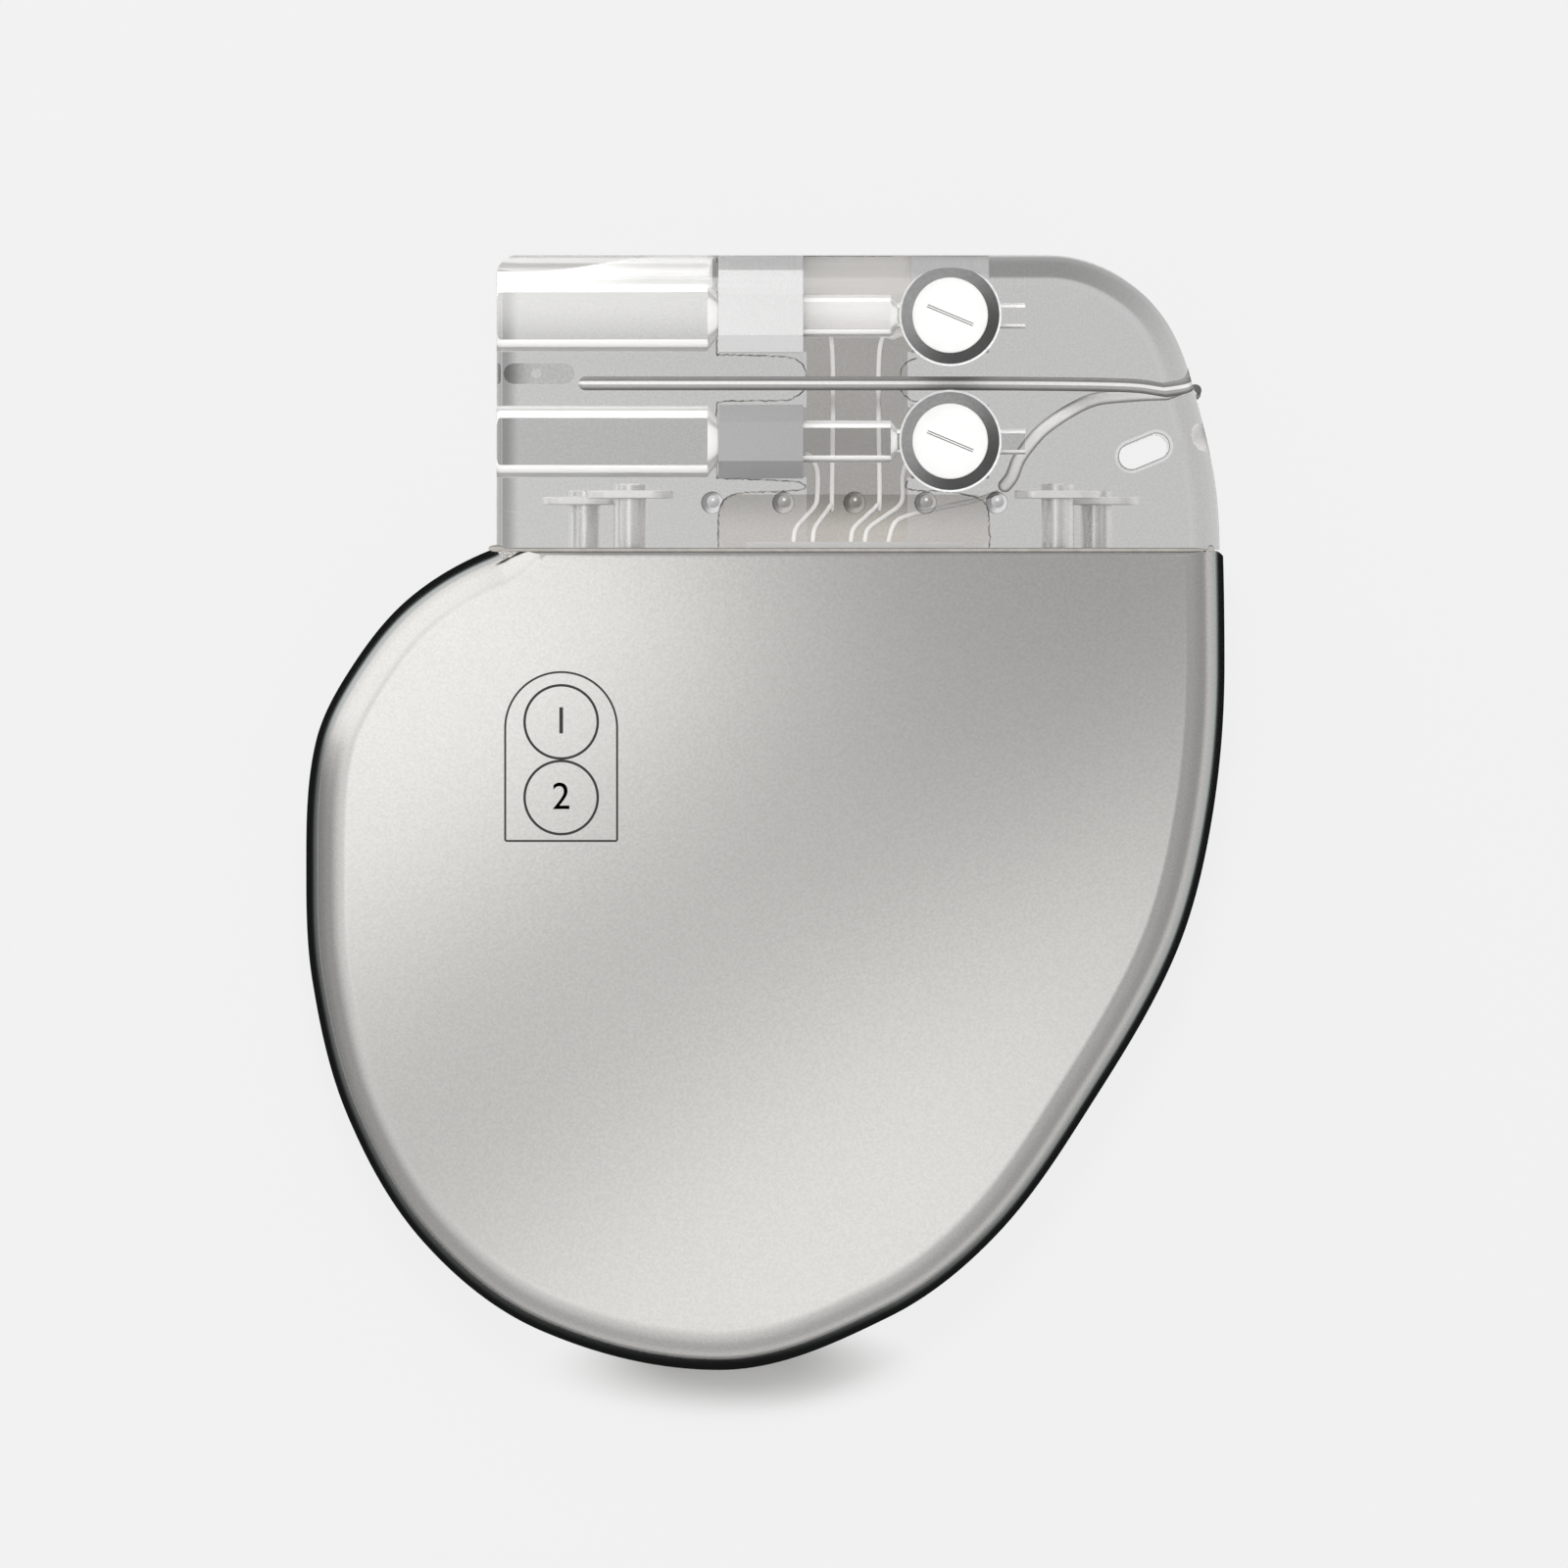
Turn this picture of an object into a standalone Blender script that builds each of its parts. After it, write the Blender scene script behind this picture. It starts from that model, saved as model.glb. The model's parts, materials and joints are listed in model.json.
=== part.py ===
"""Cardiac pacemaker: a welded titanium can with a clear moulded header for two leads.

It lies on its back. X runs along the header from the lead ports, Y from the can up through the
header, Z out of the back through the front face. The origin is under the middle, on the back face.
"""

import math

import bmesh
import bpy
from mathutils import Matrix, Vector

MM = 0.001

# Fits between pieces
FIT = 0.05 * MM
SEAM = 0.03 * MM
WELD = 0.005 * MM
OVERRUN = 2.0 * MM
DEEP_OVERRUN = 3.0 * MM

# Facets
OUTLINE_STEPS = 3
RIM_STEPS = 2
ROUND_SIDES = 24
SMALL_SIDES = 12
HEX_SIDES = 6
WIRE_STEPS = 1
LEAD_STEPS = 2
ANTENNA_STEPS = 3
SMOOTH_ANGLE = math.radians(32)
FLAT_ANGLE = math.radians(0.2)

# Can: two drawn titanium half shells, welded at mid-thickness
CAN_WIDTH = 44.5 * MM
CAN_HEIGHT = 39.7 * MM
CAN_THICK = 7.5 * MM
CAN_WALL = 0.32 * MM
CAN_RIM = 2.0 * MM
CAN_TOP_EDGE = 0.4 * MM

# Header: one clear moulding on the can's flat top
HEADER_WIDTH = 35.0 * MM
HEADER_HEIGHT = 14.3 * MM
HEADER_THICK = 7.1 * MM
HEADER_RIM = 1.4 * MM
HEADER_SETBACK = 9.25 * MM
PORT_RIM = 0.25 * MM
PORT_CORNER = 1.0 * MM

# Lead ports: stepped bores, depths counted from the port face
PORT_ROW_SHARES = (0.7966, 0.37)
REAR_BORE_R = 1.74 * MM
RING_BORE_R = 1.02 * MM
PIN_BORE_R = 0.62 * MM
REAR_BORE_DEPTH = 10.2 * MM
REAR_CONE_LENGTH = 0.52 * MM
RING_BORE_DEPTH = 19.08 * MM
RING_CONE_LENGTH = 0.31 * MM
PIN_BORE_DEPTH = 25.6 * MM

# Contact blocks: octagonal bars on the bores
BLOCK_HEIGHT = 3.56 * MM
BLOCK_CHAMFER = 0.83 * MM
RING_BLOCK_DEPTH = 10.72 * MM
RING_BLOCK_LENGTH = 4.11 * MM
TIP_BLOCK_DEPTH = 20.07 * MM
TIP_BLOCK_LENGTH = 3.76 * MM
SPRING_WIRE_R = 0.15 * MM
SPRING_GROOVE_WIDTH = 0.5 * MM
SPRING_GROOVE_DEPTH = 0.42 * MM

# Set screws and the wells they are reached through
SCREW_R = 0.9 * MM
SCREW_LENGTH = 1.3 * MM
SCREW_RUNNING_FIT = 0.04 * MM
SCREW_LIFT = 0.1 * MM
SOCKET_WIDTH = 0.89 * MM
SOCKET_DEPTH = 0.7 * MM
WELL_RIM_R = 2.48 * MM
WELL_R = 1.9 * MM
WELL_CONE_DEPTH = 0.8 * MM
PLUG_THICK = 0.62 * MM
SLIT_LENGTH = 2.4 * MM
SLIT_WIDTH = 0.08 * MM
SLIT_DEPTH = 0.3 * MM
SLIT_ANGLE = math.radians(-22.7)

# Wiring channel, open at the header's back and filled with adhesive
CHANNEL_LEFT_GAP = 0.12 * MM
CHANNEL_WIDTH = 5.0 * MM
CHANNEL_TOP_WALL = 1.0 * MM
CHANNEL_DEPTH = 2.3 * MM
CHANNEL_CORNER = 0.8 * MM
ARM_OVERLAP = 0.3 * MM
ARM_INSET = 0.06 * MM
ARM_STEP = 0.06 * MM
BASE_POCKET_WIDTH = 13.15 * MM
BASE_POCKET_HEIGHT_SHARE = 0.196
BASE_POCKET_DEPTH = 5.0 * MM

# Suture slot, right through the header
SLOT_LENGTH = 2.5 * MM
SLOT_WIDTH = 1.3 * MM
SLOT_ANGLE = math.radians(29)
SLOT_PLACE_SHARES = (0.895, 0.335)

# Moulded dimples on the header's front, over the feedthrough
DIMPLE_COUNT = 5
DIMPLE_PITCH = 3.44 * MM
DIMPLE_RIM_R = 0.55 * MM
DIMPLE_DEPTH = 0.34 * MM
DIMPLE_HEIGHT_SHARE = 0.161
DIMPLE_INDENT = 10.44 * MM

# Identification tag, slid into the port face
TAG_LENGTH = 3.45 * MM
TAG_WIDTH = 1.0 * MM
TAG_THICK = 0.25 * MM
TAG_HOLE_R = 0.24 * MM
TAG_HOLE_INDENT = 1.6 * MM
TAG_SETBACK = 0.3 * MM
TAG_LIFT = 0.25 * MM

# Feedthrough: a flange on the can's top, with a ceramic that carries five wires
FLANGE_WIDTH = 10.66 * MM
FLANGE_INDENT = 12.05 * MM
FLANGE_THICK = 0.38 * MM
FLANGE_DEPTH = 3.4 * MM
NECK_MARGIN = 0.5 * MM
NECK_LENGTH = 0.75 * MM
CERAMIC_WALL = 0.45 * MM
FILTER_LENGTH = 0.6 * MM
FILTER_GAP = 0.1 * MM
WIRE_TAIL = 0.1 * MM

# Wires, with their places counted from the flange's left end
WIRE_R = 0.125 * MM
PIN_PLACES = (2.33 * MM, 3.26 * MM, 5.11 * MM, 5.79 * MM, 6.95 * MM)
COLUMN_PLACES = (3.47 * MM, 4.18 * MM, 6.49 * MM, 7.62 * MM)
WIRE_PLANE = 1.8 * MM
HOOK_PLANE = 2.05 * MM
RISE_START = 0.6 * MM
RISE_END = 2.7 * MM
RISE_SHARES = ((0.0, 0.0), (0.24, 0.1), (0.5, 0.5), (0.76, 0.9), (1.0, 1.0))
RING_HOOK_DROP = 0.52 * MM
TIP_HOOK_DROP = 0.8 * MM
HOOK_BEND = 0.9 * MM
HOOK_SAG_SHARE = 0.25
HOLE_REACH = 0.35 * MM

# Antenna: a rod along the header's middle that turns back behind itself
ANTENNA_R = 0.31 * MM
ANTENNA_PLANE = 4.3 * MM
ANTENNA_BACK_PLANE = 1.7 * MM
ANTENNA_INDENT = 4.2 * MM
ANTENNA_FRONT_SHARES = ((0.26, 0.567), (0.49, 0.567), (0.72, 0.566), (0.87, 0.56), (0.92, 0.546))
ANTENNA_BACK_SHARES = (
    (0.758, 0.534),
    (0.636, 0.528),
    (0.513, 0.515),
    (0.416, 0.478),
    (0.319, 0.422),
    (0.262, 0.373),
    (0.211, 0.312),
    (0.18, 0.249),
    (0.137, 0.206),
)
ANTENNA_BEND_SHARES = (0.966, 0.535)
FEED_GAP = 0.1 * MM
FEED_SHARES = ((0.779, 0.173), (0.578, 0.156), (0.358, 0.137), (0.189, 0.122), (0.059, 0.098))

# Anchors: posts welded on the can's top, each with an oblong plate
POST_R = 0.8 * MM
PLATE_LENGTH = 4.2 * MM
PLATE_WIDTH = 2.1 * MM
PLATE_THICK = 0.4 * MM
POST_CAP = 0.32 * MM
FRONT_POST_HEIGHT_SHARE = 0.226
REAR_POST_HEIGHT_SHARE = 0.206
FRONT_POST_PLANE = 5.2 * MM
REAR_POST_PLANE = 2.3 * MM
FRONT_LEFT_POST_INDENT = 6.45 * MM
REAR_LEFT_POST_INDENT = 4.26 * MM
FRONT_RIGHT_POST_SHARE = 0.361
REAR_RIGHT_POST_SHARE = 0.514

# Inside the can
BAND_THICK = 0.25 * MM
BAND_WIDTH = 2.0 * MM
BAND_TOP_GAP = 2.0 * MM
LINER_THICK = 0.2 * MM
BATTERY_SIDE_GAP = 0.12 * MM
BATTERY_RIM = 1.3 * MM
BATTERY_HEIGHT_SHARE = 0.589
BATTERY_PIN_R = 0.3 * MM
BATTERY_PIN_LENGTH = 1.5 * MM
BATTERY_PIN_SHARES = (-0.202, -0.135)
BOARD_THICK = 0.8 * MM
BOARD_BOTTOM_GAP = 1.8 * MM
CHIP_EDGE = 0.12 * MM
PROCESSOR_SIZE = (7.0 * MM, 7.0 * MM, 1.1 * MM)
MEMORY_SIZE = (4.0 * MM, 6.0 * MM, 0.9 * MM)
CAPACITOR_SIZE = (2.6 * MM, 3.4 * MM, 1.8 * MM)
CRYSTAL_SIZE = (1.6 * MM, 3.2 * MM, 0.8 * MM)
SENSOR_SIZE = (3.0 * MM, 3.0 * MM, 1.0 * MM)
SWITCH_SIZE = (1.6 * MM, 2.6 * MM, 0.8 * MM)
PROCESSOR_SHARE = -0.045
MEMORY_SHARE = 0.112
CAPACITOR_SHARES = (-0.202, -0.279)
CRYSTAL_SHARE = 0.211
SENSOR_SHARE = 0.306
SWITCH_SHARE = 0.387
CORE_SIZE = (15.0 * MM, 1.6 * MM, 1.2 * MM)
COIL_LENGTH = 11.0 * MM
COIL_THICK = 0.4 * MM
CORE_SHARE = 0.067

# Places that follow from the sizes above
ALONG_X = Matrix.Rotation(math.pi / 2, 4, "Y")
WIDE = CAN_WIDTH + OVERRUN
MID_PLANE = CAN_THICK / 2
CAN_BOTTOM = -(CAN_HEIGHT + HEADER_HEIGHT) / 2
CAN_TOP = CAN_BOTTOM + CAN_HEIGHT
HEADER_TOP = CAN_TOP + HEADER_HEIGHT
PORT_FACE = -CAN_WIDTH / 2 + HEADER_SETBACK
HEADER_BACK = MID_PLANE - HEADER_THICK / 2
HEADER_FRONT = MID_PLANE + HEADER_THICK / 2
HEADER_FOOT = CAN_TOP + FIT
PORT_ROWS = tuple(CAN_TOP + share * HEADER_HEIGHT for share in PORT_ROW_SHARES)
ROW_NAMES = ("upper", "lower")
RING_BLOCK_LEFT = PORT_FACE + RING_BLOCK_DEPTH
RING_BLOCK_RIGHT = RING_BLOCK_LEFT + RING_BLOCK_LENGTH
TIP_BLOCK_LEFT = PORT_FACE + TIP_BLOCK_DEPTH
TIP_BLOCK_RIGHT = TIP_BLOCK_LEFT + TIP_BLOCK_LENGTH
BLOCK_FRONT = MID_PLANE + BLOCK_HEIGHT / 2
SCREW_X = (TIP_BLOCK_LEFT + TIP_BLOCK_RIGHT) / 2
SCREW_BOTTOM = MID_PLANE + PIN_BORE_R + SCREW_LIFT
PLUG_TOP = HEADER_FRONT - WELL_CONE_DEPTH
PLUG_R = WELL_R - FIT
FLANGE_LEFT = PORT_FACE + FLANGE_INDENT
FLANGE_RIGHT = FLANGE_LEFT + FLANGE_WIDTH
FLANGE_TOP = CAN_TOP + FIT + FLANGE_THICK
NECK_BOTTOM = CAN_TOP - NECK_LENGTH
NECK_HALF_DEPTH = FLANGE_DEPTH / 2 - NECK_MARGIN
CERAMIC_HALF_DEPTH = NECK_HALF_DEPTH - CERAMIC_WALL
CHANNEL_LEFT = RING_BLOCK_RIGHT + CHANNEL_LEFT_GAP
CHANNEL_RIGHT = CHANNEL_LEFT + CHANNEL_WIDTH
CHANNEL_FLOOR = HEADER_BACK + CHANNEL_DEPTH
BASE_POCKET_FLOOR = HEADER_BACK + BASE_POCKET_DEPTH
FILTER_TOP = NECK_BOTTOM - FILTER_GAP
WIRE_START = FILTER_TOP - FILTER_LENGTH - WIRE_TAIL
BATTERY_TOP = CAN_BOTTOM + BATTERY_HEIGHT_SHARE * CAN_HEIGHT
BOARD_BOTTOM = BATTERY_TOP + BOARD_BOTTOM_GAP
BOARD_TOP = WIRE_START - FIT

# Outlines: points as shares of the width and height they follow, and a direction in degrees
# where the curve has to leave a point in that direction. The part over a height share of 1 is cut off.
CAN_OUTLINE_SHARES = (
    (-0.301, 1.0, None),
    (-0.388, 0.942, None),
    (-0.4506, 0.858, None),
    (-0.4895, 0.767, None),
    (-0.5, 0.625, -90),
    (-0.4935, 0.4766, None),
    (-0.4548, 0.31, None),
    (-0.3717, 0.1554, None),
    (-0.2443, 0.048, None),
    (-0.05, 0.0, 0),
    (0.1346, 0.0647, None),
    (0.253, 0.1665, None),
    (0.3557, 0.3259, None),
    (0.4465, 0.5071, None),
    (0.4858, 0.6693, None),
    (0.5, 0.86, 90),
    (0.498, 1.01, 92),
    (0.44, 1.13, None),
    (0.292, 1.171, None),
    (0.067, 1.133, None),
    (-0.135, 1.058, None),
)
HEADER_OUTLINE_SHARES = (
    (-0.12, 0.9, 90),
    (-0.05, 1.0, 0),
    (0.763, 1.0, 0),
    (0.8946, 0.872, None),
    (0.96, 0.587, -75),
    (0.9974, 0.15, -86),
    (1.0, 0.0, -90),
    (0.95, -0.3, None),
    (0.8, -0.4, 180),
    (0.05, -0.4, 180),
    (-0.12, -0.2, 90),
)

COLOURS = {
    "titanium": ((0.62, 0.60, 0.57), 0.38, 1.0),
    "polished_metal": ((0.78, 0.77, 0.74), 0.18, 1.0),
    "clear_moulding": ((0.80, 0.81, 0.82), 0.08, 0.0),
    "adhesive": ((0.66, 0.63, 0.60), 0.3, 0.0),
    "silicone": ((0.93, 0.93, 0.92), 0.5, 0.0),
    "ceramic": ((0.85, 0.83, 0.78), 0.5, 0.0),
    "tag_grey": ((0.45, 0.45, 0.45), 0.6, 0.0),
    "liner_film": ((0.75, 0.68, 0.42), 0.4, 0.0),
    "battery_case": ((0.55, 0.56, 0.58), 0.35, 1.0),
    "board_green": ((0.05, 0.22, 0.12), 0.5, 0.0),
    "chip_black": ((0.03, 0.03, 0.035), 0.45, 0.0),
    "capacitor_tan": ((0.62, 0.45, 0.22), 0.5, 0.0),
    "copper": ((0.72, 0.38, 0.22), 0.35, 1.0),
    "ferrite": ((0.09, 0.09, 0.1), 0.6, 0.0),
}


def clear_scene():
    for obj in list(bpy.data.objects):
        bpy.data.objects.remove(obj, do_unlink=True)


def new_collection(name):
    collection = bpy.data.collections.new(name)
    bpy.context.scene.collection.children.link(collection)
    return collection


def material(finish, name):
    """A material of the piece's own, with the named finish."""
    colour, roughness, metallic = COLOURS[finish]
    made = bpy.data.materials.new(name)
    made.use_nodes = True
    shader = made.node_tree.nodes["Principled BSDF"]
    shader.inputs["Base Color"].default_value = (*colour, 1.0)
    shader.inputs["Roughness"].default_value = roughness
    shader.inputs["Metallic"].default_value = metallic
    return made


def keep(obj, finish):
    """Put a finished piece in the part's collection, with its material."""
    PART.objects.link(obj)
    obj.data.materials.append(material(finish, obj.name))
    if obj.type == "MESH":
        obj.data.shade_smooth()
        obj.data.set_sharp_from_angle(angle=SMOOTH_ANGLE)
    return obj


def as_cutter(obj):
    """Put a helper solid in the cutters' collection."""
    CUTTERS.objects.link(obj)
    obj.hide_render = True
    obj.display_type = "WIRE"
    return obj


def carve(obj, cutters, operation="DIFFERENCE"):
    """Cut, keep or join with each of the given solids."""
    for cutter in cutters:
        step = obj.modifiers.new(cutter.name, "BOOLEAN")
        step.operation = operation
        step.solver = "EXACT"
        step.object = cutter
    return obj


def reach(chord, turn):
    """Handle length that bends a Bezier stretch like an arc of this turn."""
    if abs(turn) < math.radians(1):
        return chord / 3
    return chord * 2 * math.tan(turn / 4) / (3 * math.sin(turn / 2))


def angle_between(a, b):
    turn = abs(a - b) % math.tau
    return min(turn, math.tau - turn)


def directions(anchors):
    """Each anchor's direction: the one it names, or that between its neighbours."""
    found = []
    for i, anchor in enumerate(anchors):
        before, after = anchors[i - 1], anchors[(i + 1) % len(anchors)]
        if anchor[2] is None:
            found.append(math.atan2(after[1] - before[1], after[0] - before[0]))
        else:
            found.append(math.radians(anchor[2]))
    return found


def outline(name, anchors, low, high, inset=0.0, rim=0.0):
    """A plate from height low to high on a closed smooth outline, with round rims."""
    data = bpy.data.curves.new(name, "CURVE")
    data.dimensions = "2D"
    data.fill_mode = "BOTH"
    data.resolution_u = OUTLINE_STEPS
    data.extrude = (high - low) / 2 - rim
    data.bevel_depth = rim
    data.bevel_resolution = RIM_STEPS
    data.offset = -rim - inset
    spline = data.splines.new("BEZIER")
    spline.bezier_points.add(len(anchors) - 1)
    spline.use_cyclic_u = True
    angles = directions(anchors)
    for i, point in enumerate(spline.bezier_points):
        x, y, _ = anchors[i]
        point.handle_left_type = "FREE"
        point.handle_right_type = "FREE"
        point.co = (x, y, 0.0)
        along = Vector((math.cos(angles[i]), math.sin(angles[i]), 0.0))
        last, following = i - 1, (i + 1) % len(anchors)
        back = math.dist(anchors[last][:2], (x, y))
        ahead = math.dist(anchors[following][:2], (x, y))
        point.handle_left = point.co - along * reach(back, angle_between(angles[i], angles[last]))
        point.handle_right = point.co + along * reach(ahead, angle_between(angles[i], angles[following]))
    curve = bpy.data.objects.new(name, data)
    curve.location.z = (low + high) / 2
    return to_mesh(curve)


def to_mesh(curve):
    """The curve's solid as a closed mesh object, in world place."""
    bpy.context.scene.collection.objects.link(curve)
    bpy.context.view_layer.update()
    seen = curve.evaluated_get(bpy.context.evaluated_depsgraph_get())
    mesh = bpy.data.meshes.new_from_object(seen)
    made = bpy.data.objects.new(curve.name, mesh)
    made.matrix_world = curve.matrix_world.copy()
    name = curve.name
    bpy.data.objects.remove(curve, do_unlink=True)
    made.name = name
    bm = bmesh.new()
    bm.from_mesh(mesh)
    bmesh.ops.remove_doubles(bm, verts=bm.verts, dist=WELD)
    bmesh.ops.dissolve_limit(bm, angle_limit=FLAT_ANGLE, verts=bm.verts, edges=bm.edges)
    bmesh.ops.triangulate(bm, faces=bm.faces)
    bmesh.ops.recalc_face_normals(bm, faces=bm.faces)
    bm.to_mesh(mesh)
    bm.free()
    return made


def box(name, low, high, edge=0.0, pick=None):
    """A box between two corners. An edge size rounds the edges that pick chooses, or all of them."""
    bm = bmesh.new()
    bmesh.ops.create_cube(bm, size=1)
    size = [h - l for l, h in zip(low, high)]
    middle = [(l + h) / 2 for l, h in zip(low, high)]
    bmesh.ops.scale(bm, vec=size, verts=bm.verts)
    bmesh.ops.translate(bm, vec=middle, verts=bm.verts)
    if edge:
        chosen = [e for e in bm.edges if pick is None or pick(e)]
        bmesh.ops.bevel(
            bm, geom=chosen, offset=edge, segments=RIM_STEPS, profile=0.5, affect="EDGES"
        )
    return mesh_object(name, bm)


def mesh_object(name, bm):
    mesh = bpy.data.meshes.new(name)
    bm.to_mesh(mesh)
    bm.free()
    return bpy.data.objects.new(name, mesh)


def centred_box(name, centre, size, edge=0.0):
    low = [c - s / 2 for c, s in zip(centre, size)]
    high = [c + s / 2 for c, s in zip(centre, size)]
    return box(name, low, high, edge)


def rod(name, start, end, radius, sides=ROUND_SIDES):
    """A plain cylinder from start to end."""
    start, end = Vector(start), Vector(end)
    bm = bmesh.new()
    bmesh.ops.create_cone(
        bm, cap_ends=True, segments=sides, radius1=radius, radius2=radius, depth=(end - start).length
    )
    turn = Vector((0, 0, 1)).rotation_difference(end - start).to_matrix().to_4x4()
    bmesh.ops.transform(bm, matrix=Matrix.Translation((start + end) / 2) @ turn, verts=bm.verts)
    return mesh_object(name, bm)


def turned(name, profile, place, turn=None):
    """A turned solid: (radius, height) points from the top down, spun about the local Z axis."""
    bm = bmesh.new()
    points = [bm.verts.new((radius, 0, height)) for radius, height in profile]
    for a, b in zip(points, points[1:]):
        bm.edges.new((a, b))
    obj = mesh_object(name, bm)
    spin = obj.modifiers.new("spin", "SCREW")
    spin.steps = ROUND_SIDES
    spin.render_steps = ROUND_SIDES
    spin.use_merge_vertices = True
    spin.merge_threshold = WELD
    obj.matrix_world = Matrix.Translation(place) @ (turn or Matrix.Identity(4))
    return obj


def prism_along_x(name, points, left, right):
    """A bar along X with the given (y, z) section."""
    bm = bmesh.new()
    face = bm.faces.new([bm.verts.new((left, y, z)) for y, z in points])
    drawn = bmesh.ops.extrude_face_region(bm, geom=[face])
    ends = [v for v in drawn["geom"] if isinstance(v, bmesh.types.BMVert)]
    bmesh.ops.translate(bm, vec=(right - left, 0, 0), verts=ends)
    bmesh.ops.recalc_face_normals(bm, faces=bm.faces)
    return mesh_object(name, bm)


def tube(name, points, radius):
    """A wire through the points, with closed ends, left as a curve."""
    data = bpy.data.curves.new(name, "CURVE")
    data.dimensions = "3D"
    data.bevel_depth = radius
    data.bevel_resolution = WIRE_STEPS
    data.use_fill_caps = True
    spline = data.splines.new("POLY")
    spline.points.add(len(points) - 1)
    for point, place in zip(spline.points, points):
        point.co = (*place, 1.0)
    return bpy.data.objects.new(name, data)


def smooth_path(route, steps):
    """Points on a smooth curve through the route's own points."""
    path = []
    ends = [route[0]] + list(route) + [route[-1]]
    for a, b, c, d in zip(ends, ends[1:], ends[2:], ends[3:]):
        a, b, c, d = Vector(a), Vector(b), Vector(c), Vector(d)
        for i in range(steps):
            t = i / steps
            path.append(
                0.5
                * (2 * b + (c - a) * t + (2 * a - 5 * b + 4 * c - d) * t**2 + (3 * b - a - 3 * c + d) * t**3)
            )
    return path + [Vector(route[-1])]


def rounded_rectangle(left, bottom, right, top, radius):
    """Outline anchors of a rectangle with round corners."""
    return (
        (left + radius, bottom, 0),
        (right - radius, bottom, 0),
        (right, bottom + radius, 90),
        (right, top - radius, 90),
        (right - radius, top, 180),
        (left + radius, top, 180),
        (left, top - radius, -90),
        (left, bottom + radius, -90),
    )


def oblong(centre, length, width, angle=0.0):
    """Outline anchors of a slot shape: a strip with half-round ends."""
    half, radius = (length - width) / 2, width / 2
    corners = ((-half, -radius, 0), (half, -radius, 0), (half + radius, 0.0, 90))
    corners += ((half, radius, 180), (-half, radius, 180), (-half - radius, 0.0, -90))
    turned_points = []
    for x, y, direction in corners:
        turned_points.append(
            (
                centre[0] + x * math.cos(angle) - y * math.sin(angle),
                centre[1] + x * math.sin(angle) + y * math.cos(angle),
                direction + math.degrees(angle),
            )
        )
    return tuple(turned_points)


def can_anchors():
    return tuple((x * CAN_WIDTH, CAN_BOTTOM + y * CAN_HEIGHT, turn) for x, y, turn in CAN_OUTLINE_SHARES)


def header_anchors():
    return tuple(
        (PORT_FACE + x * HEADER_WIDTH, CAN_TOP + y * HEADER_HEIGHT, turn)
        for x, y, turn in HEADER_OUTLINE_SHARES
    )


def header_place(shares, plane):
    """A place in the header from its shares of width and height."""
    return (PORT_FACE + shares[0] * HEADER_WIDTH, CAN_TOP + shares[1] * HEADER_HEIGHT, plane)


def right_part(share):
    """A place along X, as a share of the way from the flange to the header's right side."""
    return FLANGE_RIGHT + share * (PORT_FACE + HEADER_WIDTH - FLANGE_RIGHT)


def behind_place(shares):
    """A place on the antenna's run back, right of the flange."""
    return (right_part(shares[0]), CAN_TOP + shares[1] * HEADER_HEIGHT, ANTENNA_BACK_PLANE)


def half_space(name, top, z_low=-OVERRUN, z_high=CAN_THICK + OVERRUN, bottom=CAN_BOTTOM - OVERRUN):
    """A wide block that keeps what lies between two heights of Y."""
    return as_cutter(box(name, (-WIDE, bottom, z_low), (WIDE, top, z_high)))


def build_can():
    """Two open half shells, with the band behind their weld."""
    cavity = outline(
        "can_cavity", can_anchors(), CAN_WALL, CAN_THICK - CAN_WALL, CAN_WALL, CAN_RIM - CAN_WALL
    )
    carve(as_cutter(cavity), [half_space("can_cavity_top", CAN_TOP - CAN_WALL)], "INTERSECT")
    gap_z = NECK_HALF_DEPTH + FIT
    neck_hole = box(
        "neck_hole",
        (FLANGE_LEFT + NECK_MARGIN - FIT, CAN_TOP - CAN_WALL - OVERRUN, MID_PLANE - gap_z),
        (FLANGE_RIGHT - NECK_MARGIN + FIT, CAN_TOP + OVERRUN, MID_PLANE + gap_z),
    )
    as_cutter(neck_hole)
    halves = (
        ("front_shell", MID_PLANE + SEAM / 2, CAN_THICK + FIT, CAN_THICK + FIT),
        ("rear_shell", -FIT, MID_PLANE - SEAM / 2, -FIT),
    )
    for name, low, high, face in halves:

        def top_edge(edge, face=face):
            a, b = edge.verts
            level = all(math.isclose(v.co.z, face, abs_tol=WELD) for v in (a, b))
            return level and all(math.isclose(v.co.y, CAN_TOP, abs_tol=WELD) for v in (a, b))

        trim = box(
            f"{name}_trim",
            (-WIDE, CAN_BOTTOM - OVERRUN, low),
            (WIDE, CAN_TOP, high),
            CAN_TOP_EDGE + FIT,
            top_edge,
        )
        shell = outline(name, can_anchors(), 0.0, CAN_THICK, 0.0, CAN_RIM)
        carve(shell, [as_cutter(trim)], "INTERSECT")
        carve(shell, [cavity, neck_hole])
        keep(shell, "titanium")

    band_inset = CAN_WALL + FIT
    band_low, band_high = MID_PLANE - BAND_WIDTH / 2, MID_PLANE + BAND_WIDTH / 2
    band = outline("weld_backing_band", can_anchors(), band_low, band_high, band_inset)
    inside = outline(
        "band_inside", can_anchors(), band_low - OVERRUN, band_high + OVERRUN, band_inset + BAND_THICK
    )
    carve(band, [as_cutter(inside)])
    carve(band, [half_space("band_top", CAN_TOP - BAND_TOP_GAP)], "INTERSECT")
    keep(band, "titanium")


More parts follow.
